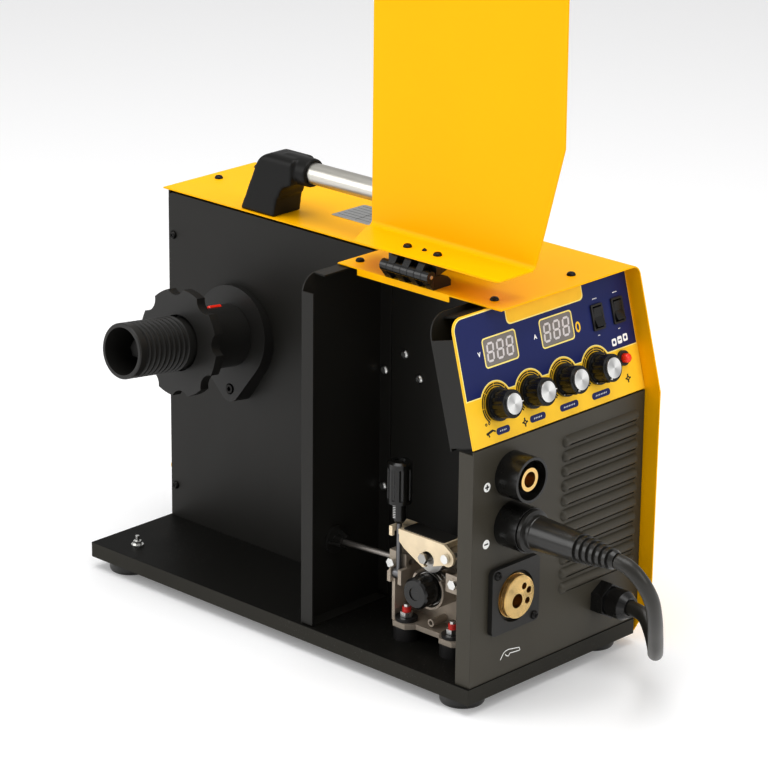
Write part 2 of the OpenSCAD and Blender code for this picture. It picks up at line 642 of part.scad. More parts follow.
// The roller with its own bolt, which the rear plate of the arm carries
module pressure_roller() {
    color("#9a9a98") difference() {
        union() {
            rod_y([roll_x, wire_y - 5.5, press_z], 11, press_d / 2);
            rod_y([roll_x, wire_y - 12.4, press_z], 7.4, 4);
        }
        rod_y([roll_x, wire_y - 0.6, press_z], 1.2, press_d / 2 + 1);
    }
    color("#9a9a98") {
        rod_y([roll_x, wire_y - 1, press_z], 2, press_d / 2 - 1);
        rod_y([roll_x, wire_y, press_z], 12.5, 3);
        translate([roll_x, wire_y - 12.4, press_z]) rotate([90, 0, 0]) hex(10, 3.6);
    }
}
module tension_rod() {
    color("silver") difference() {
        union() {
            translate(rod_at) cylinder(h = 92, r = 2.5);
            rod_x([rod_at[0] - 4.1, rod_at[1], rod_at[2]], 8.2, 4.6);
        }
        rod_x([rod_at[0] - 10, rod_at[1], rod_at[2]], 20, 2.05);
    }
}
module tension_knob() {
    color("#1b1b1b") translate([rod_at[0], rod_at[1], 0]) difference() {
        union() {
            translate([0, 0, 134]) cylinder(h = 3, r1 = 3.6, r2 = 5.8);
            translate([0, 0, 137]) cylinder(h = 17, r = 5.8);
            difference() {
                translate([0, 0, 153.5]) cylinder(h = 37, r = 11);
                for (i = [0 : 8]) rotate(i * 40) translate([12.2, 0, 157]) cylinder(h = 29, r = 2.2);
            }
            translate([0, 0, 190.5]) cylinder(h = 1.8, r1 = 11, r2 = 8.6);
        }
        translate([0, 0, 133]) cylinder(h = 52, r = 2.55);
        translate([0, 0, 191]) cylinder(h = 3, r = 5.4);
    }
}
module drive_roll() {
    w = 5.5;
    r = roll_d / 2;
    color("#8d8d8b") {
        // Grooved roll: its edge profile has two wire grooves
        translate([roll_x, wire_y, roll_z]) rotate([-90, 0, 0]) rotate_extrude()
            polygon([[0, -w], [r, -w], [r, -3.4], [r - 0.8, -2.6], [r, -1.8], [r, 1.8],
                [r - 0.8, 2.6], [r, 3.4], [r, w], [0, w]]);
        rod_y([roll_x, wire_y - 20, roll_z], 50, 5);
    }
}
module roll_knob() {
    color("#191919") translate([roll_x, wire_y - 25, roll_z]) rotate([-90, 0, 0]) difference() {
        union() {
            cylinder(h = 2, r1 = 12.4, r2 = 14.3);
            translate([0, 0, 2]) cylinder(h = 15, r = 14.3);
            translate([0, 0, 17]) cylinder(h = 1.8, r1 = 9.4, r2 = 5.5);
        }
        for (i = [0 : 11]) rotate(i * 30) translate([15.8, 0, -1]) cylinder(h = 14, r = 2.2);
        translate([0, 0, 4]) cylinder(h = 30, r = 5.02);
        translate([0, 0, -1]) cylinder(h = 2, r = 6);
    }
}

// ---- front sockets
module torch_flange() {
    color("#242321") difference() {
        translate([panel_x, torch_y, torch_z]) rotate([90, 0, 90]) linear_extrude(5) rounded_rect([61, 61], 5);
        rod_x([panel_x - 1, torch_y, torch_z], 10, 23.2);
        for (s = torch_screws) rod_x([panel_x - 1, torch_y + s[0], torch_z + s[1]], 10, screw_hole);
    }
}
module torch_connector() {
    color("#cfa54a") difference() {
        union() {
            rod_x([panel_x - 16, torch_y, torch_z], 16, 17);
            rod_x([panel_x, torch_y, torch_z], 3, 20.2);
            rod_x([panel_x, torch_y, torch_z], 9, 18.4);
            for (i = [0 : 2]) rod_x([panel_x + 3.8 + i * 1.9, torch_y, torch_z], 1, 19.4);
        }
        rod_x([panel_x - 14, torch_y - 2.5, torch_z - 3], 40, 6.5);
        for (p = [[6, 8.5], [12.2, 3.4], [10.6, -6]]) rod_x([panel_x - 4, torch_y + p[0], torch_z + p[1]], 20, 3);
        rod_x([panel_x - 20, wire_y, wire_z], 10, 2.85);
    }
}
module panel_sockets() {
    color("#1f1e1c") for (z = [plus_z, minus_z]) difference() {
        union() {
            rod_x([panel_x - 12, plug_y, z], 12, 15);
            rod_x([panel_x, plug_y, z], rim_x - panel_x, socket_d / 2);
        }
        rod_x([panel_x - 13, plug_y, z], 50, 10.6);
        rod_x([front_x + 9, plug_y, z], 20, 17.6);
    }
}
module socket_contacts() {
    color("#c79a3e") for (z = [plus_z, minus_z]) difference() {
        union() {
            rod_x([panel_x - 13, plug_y, z], rim_x - 2.5 - panel_x + 13, 10.5);
            translate([panel_x - 20, plug_y, z]) rotate([0, 90, 0]) hex(25, 7);
        }
        rod_x([panel_x - 4, plug_y, z], 50, contact_d / 2);
    }
}
// The polarity plug sits in the lower socket. Its ribbed sleeve holds the lead
module polarity_plug() {
    color("#26272a") translate([front_x, plug_y, minus_z]) rotate([0, 90, 0]) rotate_extrude() polygon(concat(
        [[0, -1], [contact_d / 2 - 0.1, -1], [contact_d / 2 - 0.1, 21.3], [13, 21.3], [13, 12],
            [17.2, 12], [17.2, 23.6], [19, 23.6], [19, 27], [15.4, 28], [15.4, 32], [15, 33], [13, 74]],
        [for (i = [0 : 5], p = [[13, 0], [13, 3.4], [10.6, 4], [10.6, 5.4]])
            [p[0] - i * 0.75, 76 + i * 6.4 + p[1]]],
        [[8.6, 114.4], [lead_d / 2 + 0.3, 118], [0, 118]]));
}
// Round cord swept along a smooth line through the route's points
function spline(p, i, u) = let (a = p[max(i - 1, 0)], b = p[i], c = p[i + 1], d = p[min(i + 2, len(p) - 1)])
    0.5 * (2 * b + (c - a) * u + (2 * a - 5 * b + 4 * c - d) * u * u + (3 * b - a - 3 * c + d) * u * u * u);
function unit(v) = v / norm(v);
module polarity_lead() {
    steps = 2;
    sides = 10;
    n = (len(lead_route) - 1) * steps;
    line = [for (k = [0 : n]) spline(lead_route, min(floor(k / steps), len(lead_route) - 2),
        k == n ? 1 : (k % steps) / steps)];
    rings = [for (k = [0 : n]) let (t = unit(line[min(k + 1, n)] - line[max(k - 1, 0)]),
        s = unit(cross(t, [0.3, 0.1, 1])), w = cross(s, t))
        for (j = [0 : sides - 1]) line[k] + lead_d / 2 * (cos(j * 360 / sides) * s + sin(j * 360 / sides) * w)];
    walls = [for (k = [0 : n - 1], j = [0 : sides - 1]) let (m = (j + 1) % sides)
        [k * sides + j, k * sides + m, (k + 1) * sides + m, (k + 1) * sides + j]];
    ends = [[for (j = [sides - 1 : -1 : 0]) j], [for (j = [0 : sides - 1]) n * sides + j]];
    color("#33312f") polyhedron(rings, concat(walls, ends));
}
module gland(reach) {
    difference() {
        union() {
            translate([0, 0, -8]) cylinder(h = 8, r = 10);
            hex(33, 13);
            translate([0, 0, 13]) cylinder(h = 2, r = 12);
            translate([0, 0, 15]) cylinder(h = reach - 21, r = 13.4);
            translate([0, 0, reach - 6]) cylinder(h = 6, r1 = 13.4, r2 = 9.6);
        }
        translate([0, 0, -9]) cylinder(h = reach + 10, r = lead_d / 2 + 0.6);
    }
}
// The polarity lead's gland in front and the mains inlet's gland at the back
module cable_glands() {
    color("#1f1f1f") {
        translate([panel_x, gland_y, gland_z]) rotate([0, 90, 0]) gland(34);
        translate([rear_x, mains_y, mains_z]) rotate([0, -90, 0]) gland(34);
    }
}

// ---- controls
module knob(i, turned) {
    on_slope() translate([0, knob_y + i * knob_pitch, knob_t]) rotate([turned, 0, 0]) rotate([0, 90, 0])
        difference() {
            union() {
                translate([0, 0, 1.2]) cylinder(h = 3, r = knob_d / 2);
                translate([0, 0, 4.2]) cylinder(h = 14.6, r = 12.2);
                translate([0, 0, 18.8]) cylinder(h = 1.4, r1 = 9.4, r2 = 8.8);
                // Raised pointer along the edge of the skirt
                translate([-13.2, -0.7, 4]) cube([2.4, 1.4, 14.2]);
            }
            for (k = [0 : 11]) rotate(15 + k * 30) translate([13.4, 0, 5]) cylinder(h = 12, r = 2);
            translate([0, 0, 1]) cylinder(h = 13, r = shaft_r + 0.05);
        }
}
module knob_current() { color("#141414") knob(0, -90); }
module knob_voltage() { color("#141414") knob(1, -90); }
module knob_inductance() { color("#141414") knob(2, 150); }
module knob_burnback() { color("#141414") knob(3, 150); }
// Rocker tilted to one side about its axle, which lies along Y
module rocker_key(y, z, w, h) {
    translate([0, y + w / 2, z]) rotate([90, 0, 0]) linear_extrude(w)
        polygon([[-7, -3], [-7, 3], [-1, h / 2], [2.2, h / 2], [1.5, 0], [4.6, 0.4 - h / 2], [-1, 0.4 - h / 2]]);
    rod_y([-2, y - w / 2 - trunnion_l, z], w + 2 * trunnion_l, trunnion_r);
}
module rocker_mode() { color("#171717") on_slope() rocker_key(rocker_y[0], rocker_t, 10.4, 17); }
module rocker_gas() { color("#171717") on_slope() rocker_key(rocker_y[1], rocker_t, 10.4, 17); }
module switch_bezels() {
    color("#1a1a1a") on_slope() {
        for (y = rocker_y) translate([0, y, rocker_t]) difference() {
            union() {
                rotate([90, 0, 90]) linear_extrude(1.8) rounded_rect(rocker, 1.5);
                block([-14, -6, -10.6], [0, 6, 10.6]);
            }
            block([-11, -5.4, -9.7], [5, 5.4, 9.7]);
            rod_y([-2, -5.8, 0], 11.6, trunnion_r + 0.05);
        }
        difference() {
            union() {
                rod_x([0, button_y, button_t], 3, 6.8);
                rod_x([-12, button_y, button_t], 12, 5);
            }
            rod_x([-9, button_y, button_t], 15, 4.5);
        }
    }
}
module test_button() { color("#e0281c") on_slope() rod_x([-4, button_y, button_t], 10.5, 4.2); }
module control_board() {
    color("#1f5c3a") on_slope() {
        difference() {
            block([-20, left_y + 28, 8], [-18.4, side_y - 8, 104]);
            for (y = rocker_y) block([-21, y - 6.6, rocker_t - 11], [-18, y + 6.6, rocker_t + 11]);
        }
        for (y = display_y) translate([-18.4, y, display_t]) rotate([90, 0, 90])
            linear_extrude(18) rounded_rect([display[0] - 0.4, display[1] - 0.4], 2.3);
        for (i = [0 : 3]) {
            rod_x([-18.4, knob_y + i * knob_pitch, knob_t], 12, 8);
            rod_x([-7, knob_y + i * knob_pitch, knob_t], 18.5, shaft_r);
        }
    }
}

// ---- inside the power bay and at the back
module fan_frame() {
    c = [rear_x + 2 * sheet, 75, 150];
    color("#1a1a1a") translate(c) {
        difference() {
            block([0, -59.5, -59.5], [38, 59.5, 59.5]);
            rod_x([-1, 0, 0], 40, 56);
        }
        for (a = [45, 135, 225, 315]) rotate([a, 0, 0]) block([34, 18, -2.5], [38, 57, 2.5]);
        rod_x([34, 0, 0], 4, 20);
        rod_x([4.3, 0, 0], 31, 2.95);
    }
}
module fan_rotor() {
    color("#222222") translate([rear_x + 2 * sheet, 75, 150]) difference() {
        union() {
            rod_x([3, 0, 0], 28, 19);
            intersection() {
                for (i = [0 : 6]) rotate([i * 360 / 7, 0, 0]) translate([17, 17, 0])
                    rotate([0, 42, 0]) block([-17, 0, -1], [17, 37, 1]);
                rod_x([4, 0, 0], 26, 53.5);
            }
        }
        rod_x([4, 0, 0], 40, 3);
    }
}
module power_module() {
    color("#2f6a44") {
        block([-180, 40, 48], [50, 41.6, 300]);
        for (x = [-170, 40], z = [60, 290]) rod_y([x, divider_y + sheet, z], 40 - divider_y - sheet, 4);
        // Heat sinks with upright fins
        for (z0 = [70, 190]) {
            block([-170, 41.6, z0], [-60, 50, z0 + 70]);
            for (i = [0 : 10]) block([-170 + i * 10.8, 49, z0], [-168 + i * 10.8, 84, z0 + 70]);
        }
        for (i = [0 : 2]) rod_y([-30, 41.6, 120 + i * 42], 50, 17);
    }
}
module transformer() {
    color("#5b4632") difference() {
        union() {
            block([62, 48, deck_z], [118, 118, 92]);
            translate([90, 83, 92]) cylinder(h = 14, r = 26);
        }
        translate([90, 83, 94]) cylinder(h = 20, r = 9);
    }
}
// Gas valve with its hose nipple through the rear panel
module gas_valve() {
    color("#b48a3a") difference() {
        union() {
            block([rear_x + sheet, 30, mains_z - 12], [rear_x + 40, 54, mains_z + 12]);
            rod_x([rear_x - 3, 42, mains_z], 6, 6);
            translate([rear_x, 42, mains_z]) rotate([0, -90, 0]) hex(15, 7);
            rod_x([rear_x - 13, 42, mains_z], 7, 4.5);
            rod_x([rear_x - 27, 42, mains_z], 15, 4);
        }
        rod_x([rear_x - 30, 42, mains_z], 50, 2);
    }
}
module mains_switch_frame() {
    color("#191919") difference() {
        union() {
            block([rear_x - 2, 56, 268], [rear_x, 94, 308]);
            block([rear_x, 58.2, 270.2], [rear_x + 26, 91.8, 305.8]);
        }
        block([rear_x - 3, 61, 273], [rear_x + 20, 89, 303]);
        rod_y([rear_x + 2, 60, 288], 30, 2.05);
    }
}
module mains_rocker() {
    color("#a01c18") translate([rear_x + 2, 88.4, 288]) rotate([90, 0, 0]) linear_extrude(26.8)
        polygon([[8, -6], [8, 6], [0, 13.2], [-4.4, 13.2], [-3.2, 0], [-8, -13.2], [0, -13.2]]);
    color("#a01c18") rod_y([rear_x + 2, 60.2, 288], 29.6, 2);
}

// ---- door
module door() {
    turn = 6;
    out = left_y - 2.7;
    color("#ffc400") swung_open() difference() {
        intersection() {
            plate_yz(wall_x + 1, nose_x - wall_x - 1) polygon(concat([[axis_y + 1.5, top_z], [axis_y + 1.5, top_z - skin]],
                arc([out + turn, top_z - turn], turn - skin, 90, 180), [[out + skin, deck_z - 10], [out, deck_z - 10]],
                arc([out + turn, top_z - turn], turn, 180, 90)));
            plate_xz(out - 1, 60) side_outline(deck_z - 10, seam_z - 0.5);
            // Plan of the turned-over edge: cut back at the rear, rounded in front
            translate([0, 0, deck_z - 20]) linear_extrude(400) polygon(concat([[wall_x + 1, out - 1], [nose_x + 1, out - 1],
                [nose_x + 1, out + 8], [crown_x + 4, out + 8]], arc([crown_x - 6, axis_y - 8.5], 10, 0, 90, 6),
                [[wall_x + 23, axis_y + 1.5], [wall_x + 1, out + 8]]));
        }
        for (x = [-17.5, 17.5]) translate([hinge_x + x, axis_y - 19, top_z - 4]) cylinder(h = 8, r = screw_hole);
        translate([hinge_x, axis_y - 21.4, top_z - 4]) cylinder(h = 8, r = 2.4);
        rod_y([wall_x + 29, out - 2, 100], 5, 8);
    }
}
// Quarter-turn latch: its cam turns behind the cross wall's edge when the door is shut
module door_latch() {
    out = left_y - 2.7;
    color("#1d1d1d") swung_open() {
        rod_y([wall_x + 29, out - 4.2, 100], 4, 11);
        rod_y([wall_x + 29, out - 0.4, 100], 8.6, 7.95);
        block([wall_x + 25.5, left_y + 4.9, 96], [wall_x + 32.5, left_y + 7.7, 122]);
        block([wall_x + 27, out - 7.6, 91], [wall_x + 31, out - 4, 109]);
    }
}

base_pan();
rubber_feet();
divider();
cross_wall();
rear_panel();
cover();
control_housing();
control_panel();
lower_panel();
case_screws();
chassis_screws();
hinge_leaf_fixed();
hinge_pin();
handle_brackets();
handle_tube();
hub_flange();
hub_bolts();
brake_spring();
inlet_grommet();
inlet_tube();
feed_body();
feed_studs();
feed_insulators();
gear_motor();
outlet_tube();
torch_flange();
torch_connector();
panel_sockets();
socket_contacts();
polarity_plug();
polarity_lead();
cable_glands();
switch_bezels();
control_board();
fan_frame();
power_module();
transformer();
gas_valve();
mains_switch_frame();
door();
hinge_leaf_moving();
door_latch();
spool_hub();
hub_pin();
star_nut();
pressure_arm();
pressure_roller();
tension_rod();
tension_knob();
drive_roll();
roll_knob();
knob_current();
knob_voltage();
knob_inductance();
knob_burnback();
rocker_mode();
rocker_gas();
test_button();
fan_rotor();
mains_rocker();
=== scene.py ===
import math
import bmesh
import bpy
from mathutils import Matrix, Vector
from mathutils.geometry import tessellate_polygon


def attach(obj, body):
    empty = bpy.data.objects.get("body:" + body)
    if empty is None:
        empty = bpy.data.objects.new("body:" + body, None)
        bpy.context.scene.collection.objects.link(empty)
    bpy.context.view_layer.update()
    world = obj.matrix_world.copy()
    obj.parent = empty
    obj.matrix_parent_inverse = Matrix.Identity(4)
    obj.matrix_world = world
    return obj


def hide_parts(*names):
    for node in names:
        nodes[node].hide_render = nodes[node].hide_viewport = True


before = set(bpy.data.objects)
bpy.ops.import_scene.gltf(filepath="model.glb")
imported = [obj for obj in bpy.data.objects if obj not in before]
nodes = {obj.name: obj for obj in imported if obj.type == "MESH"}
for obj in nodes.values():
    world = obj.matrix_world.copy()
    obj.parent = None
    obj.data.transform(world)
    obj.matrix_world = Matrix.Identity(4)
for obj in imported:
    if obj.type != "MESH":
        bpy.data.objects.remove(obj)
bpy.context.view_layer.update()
scene = bpy.context.scene
mm = 0.001
print("frame loaded:", len(nodes), "nodes")

# ---- camera

camera = {"place": (2.0321, -2.1088, 1.2533), "azimuth": 44.89, "elevation": 19.81, "roll": 0.04,
          "lens": 161.67, "shift": (0.1254, 0.0311)}


def addCamera(view):
    azimuth, elevation, roll = (math.radians(view[key]) for key in ("azimuth", "elevation", "roll"))
    back = Vector((math.sin(azimuth) * math.cos(elevation), -math.cos(azimuth) * math.cos(elevation),
                   math.sin(elevation)))
    flat = Vector((math.cos(azimuth), math.sin(azimuth), 0))
    up = back.cross(flat)
    right = flat * math.cos(roll) + up * math.sin(roll)
    up = up * math.cos(roll) - flat * math.sin(roll)
    lensData = bpy.data.cameras.new("viewCamera")
    lensData.lens = view["lens"]
    lensData.sensor_width = 36
    lensData.shift_x, lensData.shift_y = view["shift"]
    lensData.clip_end = 50
    camObject = bpy.data.objects.new("viewCamera", lensData)
    scene.collection.objects.link(camObject)
    facing = Matrix((right, up, back)).transposed().to_4x4()
    camObject.matrix_world = Matrix.Translation(view["place"]) @ facing
    scene.camera = camObject


addCamera(camera)
print("camera set")

# ---- making meshes


def meshObject(name, points, faces, smooth=False):
    data = bpy.data.meshes.new(name)
    data.from_pydata([tuple(p) for p in points], [], [tuple(f) for f in faces])
    data.validate()
    piece = bpy.data.objects.new(name, data)
    scene.collection.objects.link(piece)
    for face in data.polygons:
        face.use_smooth = smooth
    return piece


def settle(piece, finish, body):
    piece.data.materials.clear()
    piece.data.materials.append(finish)
    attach(piece, body)
    return piece


# Several (points, faces) pairs as one piece
def joined(name, parts, smooth=False):
    points, faces = [], []
    for some, walls in parts:
        start = len(points)
        points += some
        faces += [[start + k for k in wall] for wall in walls]
    return meshObject(name, points, faces, smooth)


def loopArea(loop):
    return sum(a[0] * b[1] - b[0] * a[1] for a, b in zip(loop, loop[1:] + loop[:1])) / 2


# A flat plate from outlines in millimetres: the first is its edge, the others are holes in it
def plate(loops, place, low, high):
    loops = [list(loop) for loop in loops]
    for k, loop in enumerate(loops):
        if (loopArea(loop) > 0) != (k == 0):
            loop.reverse()
    flat = [p for loop in loops for p in loop]
    caps = tessellate_polygon([[Vector((p[0], p[1], 0)) for p in loop] for loop in loops])
    caps = [tri if loopArea([flat[k] for k in tri]) > 0 else tri[::-1] for tri in caps]
    caps = [tri for tri in caps if abs(loopArea([flat[k] for k in tri])) > 1e-9]
    n = len(flat)
    points = [place @ Vector((p[0] * mm, p[1] * mm, low * mm)) for p in flat]
    points += [place @ Vector((p[0] * mm, p[1] * mm, high * mm)) for p in flat]
    faces = [[k + n for k in tri] for tri in caps] + [list(tri)[::-1] for tri in caps]
    start = 0
    for loop in loops:
        m = len(loop)
        faces += [[start + k, start + (k + 1) % m, start + (k + 1) % m + n, start + k + n]
                  for k in range(m)]
        start += m
    return points, faces


# A turned shape: profile points are (radius, height) in millimetres, from the bottom up
def turned(profile, place, sides=32):
    points, faces, rings = [], [], []
    for radius, height in profile:
        if radius < 1e-6:
            rings.append([len(points)])
            points.append(place @ Vector((0, 0, height * mm)))
        else:
            rings.append(list(range(len(points), len(points) + sides)))
            points += [place @ Vector((radius * mm * math.cos(k * math.tau / sides),
                                       radius * mm * math.sin(k * math.tau / sides), height * mm))
                       for k in range(sides)]
    for low, high in zip(rings, rings[1:]):
        for k in range(sides):
            wall = [low[k % len(low)], low[(k + 1) % len(low)],
                    high[(k + 1) % len(high)], high[k % len(high)]]
            wall = [v for i, v in enumerate(wall) if v not in wall[:i]]
            if len(wall) > 2:
                faces.append(wall)
    return points, faces


def arcPoints(x, y, radius, start, end, count=10):
    return [(x + radius * math.cos(math.radians(start + (end - start) * k / count)),
             y + radius * math.sin(math.radians(start + (end - start) * k / count)))
            for k in range(count + 1)]


def roundedBox(x, y, width, height, radius, count=5):
    w, h = width / 2 - radius, height / 2 - radius
    corners = ((x + w, y + h), (x - w, y + h), (x - w, y - h), (x + w, y - h))
    return [p for k, corner in enumerate(corners)
            for p in arcPoints(*corner, radius, 90 * k, 90 * k + 90, count)]


def ring(x, y, radius, count=40):
    return arcPoints(x, y, radius, 0, 360, count)[:-1]


def band(x, y, inner, outer, start, end, count=24):
    return arcPoints(x, y, outer, start, end, count) + arcPoints(x, y, inner, end, start, count)


def bar(x0, y0, x1, y1, width):
    across = Vector((y0 - y1, x1 - x0)).normalized() * width / 2
    return [(x0 + across.x, y0 + across.y), (x0 - across.x, y0 - across.y),
            (x1 - across.x, y1 - across.y), (x1 + across.x, y1 + across.y)]


def planeAt(origin, across, up):
    across, up = Vector(across), Vector(up)
    out = across.cross(up)
    return Matrix.Translation(Vector(origin) * mm) @ Matrix((across, up, out)).transposed().to_4x4()


lean = math.radians(14.8)
slope = planeAt((239, 0, 242.5), (0, 1, 0), (-math.sin(lean), 0, math.cos(lean)))
front = planeAt((239, 0, 0), (0, 1, 0), (0, 0, 1))
roof = planeAt((0, 0, 353.8), (1, 0, 0), (0, 1, 0))

# ---- shader building


class Signal:
    def __init__(self, maker, socket):
        self.maker, self.socket = maker, socket

    def math(self, operation, first, second):
        return self.maker.node("ShaderNodeMath", {"operation": operation}, {0: first, 1: second})

    def __add__(self, other): return self.math("ADD", self, other)
    def __radd__(self, other): return self.math("ADD", other, self)
    def __mul__(self, other): return self.math("MULTIPLY", self, other)
    def __truediv__(self, other): return self.math("DIVIDE", self, other)
    def __gt__(self, other): return self.math("GREATER_THAN", self, other)
    def sine(self): return self.math("SINE", self, 0)
    def root(self): return self.math("SQRT", self, 0)


class Finish:
    def __init__(self, name, color, rough, **constants):
        self.material = bpy.data.materials.new(name)
        self.material.use_nodes = True
        self.tree = self.material.node_tree
        self.shader = self.tree.nodes["Principled BSDF"]
        self.set({"Base Color": (*color, 1), "Roughness": rough})
        self.set({key: value for key, value in constants.items()})
        self.place = self.node("ShaderNodeTexCoord", {}, {}, "Object")

    def set(self, values):
        for key, value in values.items():
            self.feed(self.shader.inputs[key.replace("_", " ")], value)

    def feed(self, socket, value):
        if isinstance(value, Signal):
            self.tree.links.new(value.socket, socket)
        elif value is not None:
            socket.default_value = value

    def node(self, kind, settings, values, out=0):
        made = self.tree.nodes.new(kind)
        for key, value in settings.items():
            if key == "stops":
                made.color_ramp.elements[0].position = value[0][0]
                made.color_ramp.elements[1].position = value[1][0]
                made.color_ramp.elements[0].color = (*value[0][1], 1)
                made.color_ramp.elements[1].color = (*value[1][1], 1)
            else:
                setattr(made, key, value)
        for key, value in values.items():
            self.feed(made.inputs[key], value)
        return Signal(self, made.outputs[out])

    def noise(self, scale, detail=2, stretch=(1, 1, 1)):
        spot = self.node("ShaderNodeMapping", {}, {"Vector": self.place, "Scale": stretch})
        return self.node("ShaderNodeTexNoise", {}, {"Vector": spot, "Scale": scale, "Detail": detail})

    def blend(self, mask, low, high):
        low = low if isinstance(low, Signal) else (*low, 1)
        high = high if isinstance(high, Signal) else (*high, 1)
        return self.node("ShaderNodeMix", {"data_type": "RGBA"}, {0: mask, 6: low, 7: high}, 2)

    def axes(self, turn=(0, 0, 0), centre=(0, 0, 0)):
        moved = self.node("ShaderNodeVectorMath", {"operation": "SUBTRACT"}, {0: self.place, 1: centre})
        spot = self.node("ShaderNodeMapping", {"vector_type": "POINT"}, {"Vector": moved, "Rotation": turn})
        split = self.node("ShaderNodeSeparateXYZ", {}, {"Vector": spot})
        return [Signal(self, split.socket.node.outputs[k]) for k in range(3)]

    # Softens hard sheet edges and lays the height pattern over them
    def relief(self, height, strength, depth, edge=0.0006):
        soft = self.node("ShaderNodeBevel", {"samples": 4}, {"Radius": edge})
        self.set({"Normal": self.node("ShaderNodeBump", {}, {
            "Strength": strength, "Distance": depth, "Height": height, "Normal": soft})})


# Fine-textured powder coat with faint wipe marks. A tray has dust specks, and painted shade darkens its
# colour above its level
def powderCoat(name, color, rough, edge=0.0006, dust=0.0, shine=0.40, level=None):
    coat = Finish(name, color, rough, Specular_IOR_Level=shine)
    dustColor = (0.30, 0.29, 0.27)
    grain = coat.noise(2600, 1)
    cloud = coat.noise(9, 3)
    wiped = coat.noise(26, 3, (1, 1, 0.4))
    tone = coat.blend(cloud, [c * 0.80 for c in color], [c * 1.22 for c in color])
    finishRough = rough - 0.07 + cloud * 0.08 + wiped * 0.10
    if level:
        # painted shade: above this height the colour is darkened to 0.22 of itself
        tone = coat.blend(coat.axes()[2] > level, tone, [c * 0.22 for c in color])
    if dust:
        specks = (coat.noise(900, 0) > 0.775) * (coat.noise(14, 2) > 0.56) * dust
        tone = coat.blend(specks, tone, dustColor)
        finishRough = finishRough + specks * 0.3
    coat.set({"Base Color": tone, "Roughness": finishRough})
    coat.relief(grain, 0.35, 0.00012, edge)
    return coat.material


def gloss(name, color, rough, coatWeight, edge=0.0006, shine=0.5):
    paint = Finish(name, color, rough, Coat_Weight=coatWeight, Coat_Roughness=0.12,
                   Specular_IOR_Level=shine)
    peel = paint.noise(900, 2)
    cloud = paint.noise(7, 2)
    paler = [min(1, c * 1.03) for c in color]
    paint.set({"Base Color": paint.blend(cloud, [c * 0.965 for c in color], paler),
               "Roughness": rough - 0.03 + paint.noise(30, 3) * 0.08})
    paint.relief(peel, 0.10, 0.00010, edge)
    return paint.material


def moulded(name, color, rough, grainScale=1800, depth=0.00006, edge=0.0004, sheen=0.0, shine=0.5):
    plastic = Finish(name, color, rough, Coat_Weight=sheen, Coat_Roughness=0.2,
                     Specular_IOR_Level=shine)
    cloud = plastic.noise(35, 3)
    plastic.set({"Base Color": plastic.blend(cloud, [c * 0.85 for c in color], [c * 1.2 for c in color]),
                 "Roughness": rough - 0.05 + cloud * 0.1})
    plastic.relief(plastic.noise(grainScale, 2), 0.4, depth, edge)
    return plastic.material


def plated(name, color, rough, edge=0.0003):
    metal = Finish(name, color, rough, Metallic=1.0)
    cloud = metal.noise(160, 3)
    paler = [min(1, c * 1.1) for c in color]
    metal.set({"Base Color": metal.blend(cloud, [c * 0.86 for c in color], paler),
               "Roughness": rough - 0.05 + cloud * 0.12})
    metal.relief(metal.noise(1500, 2), 0.15, 0.00004, edge)
    return metal.material


def brushed(name, color, rough, stretch):
    metal = Finish(name, color, rough, Metallic=1.0)
    hair = metal.noise(900, 3, stretch)
    wear = metal.noise(22, 3)
    metal.set({"Base Color": metal.blend(hair * 0.5 + wear * 0.5, [c * 0.84 for c in color], color),
               "Roughness": rough - 0.06 + hair * 0.14})
    metal.relief(hair, 0.3, 0.00008, 0.0004)
    return metal.material


def castMetal(name, color, rough, metallic):
    metal = Finish(name, color, rough, Metallic=metallic)
    sand = metal.noise(1400, 3)
    cloud = metal.noise(60, 3)
    paler = [min(1, c * 1.12) for c in color]
    metal.set({"Base Color": metal.blend(cloud, [c * 0.76 for c in color], paler),
               "Roughness": rough + sand * 0.12})
    metal.relief(sand, 0.5, 0.00016, 0.0005)
    return metal.material


# Fine rings from a lathe round the line along X through a centre. A spun face gets a painted highlight: it
# is darker in two sectors and lighter in the two between
def lathed(name, color, rough, centre, turn=(0, 0, 0), pitch=0.00035, depth=0.00005, paintedHighlightSectors=0.0):
    metal = Finish(name, color, rough, Metallic=1.0)
    x, y, z = metal.axes(turn, centre)
    radius = (y * y + z * z).root()
    groove = (radius * (math.tau / pitch)).sine()
    tone = metal.noise(120, 3)
    if paintedHighlightSectors:
        # painted highlight: the tone changes with the angle round the centre
        paintedHighlightByAngle = (y * z + y * y * 0.35) / (radius * radius + 1e-9)
        tone = tone * (1 - paintedHighlightSectors) + (paintedHighlightByAngle + 0.5) * paintedHighlightSectors
    paler = [min(1, c * 1.15) for c in color]
    metal.set({"Base Color": metal.blend(tone, [c * 0.62 for c in color], paler),
               "Roughness": rough + tone * 0.08})
    metal.relief(groove, 0.35, depth, 0.0004)
    return metal.material


def ink(name, color, rough=0.35):
    film = Finish(name, color, rough, Coat_Weight=0.08, Coat_Roughness=0.15,
                  Specular_IOR_Level=0.3)
    cloud = film.noise(60, 3)
    paler = [min(1, c * 1.05) for c in color]
    film.set({"Base Color": film.blend(cloud, [c * 0.93 for c in color], paler),
              "Roughness": rough + film.noise(500, 2) * 0.08})
    film.relief(film.noise(2200, 1), 0.12, 0.00004, 0.00005)
    return film.material


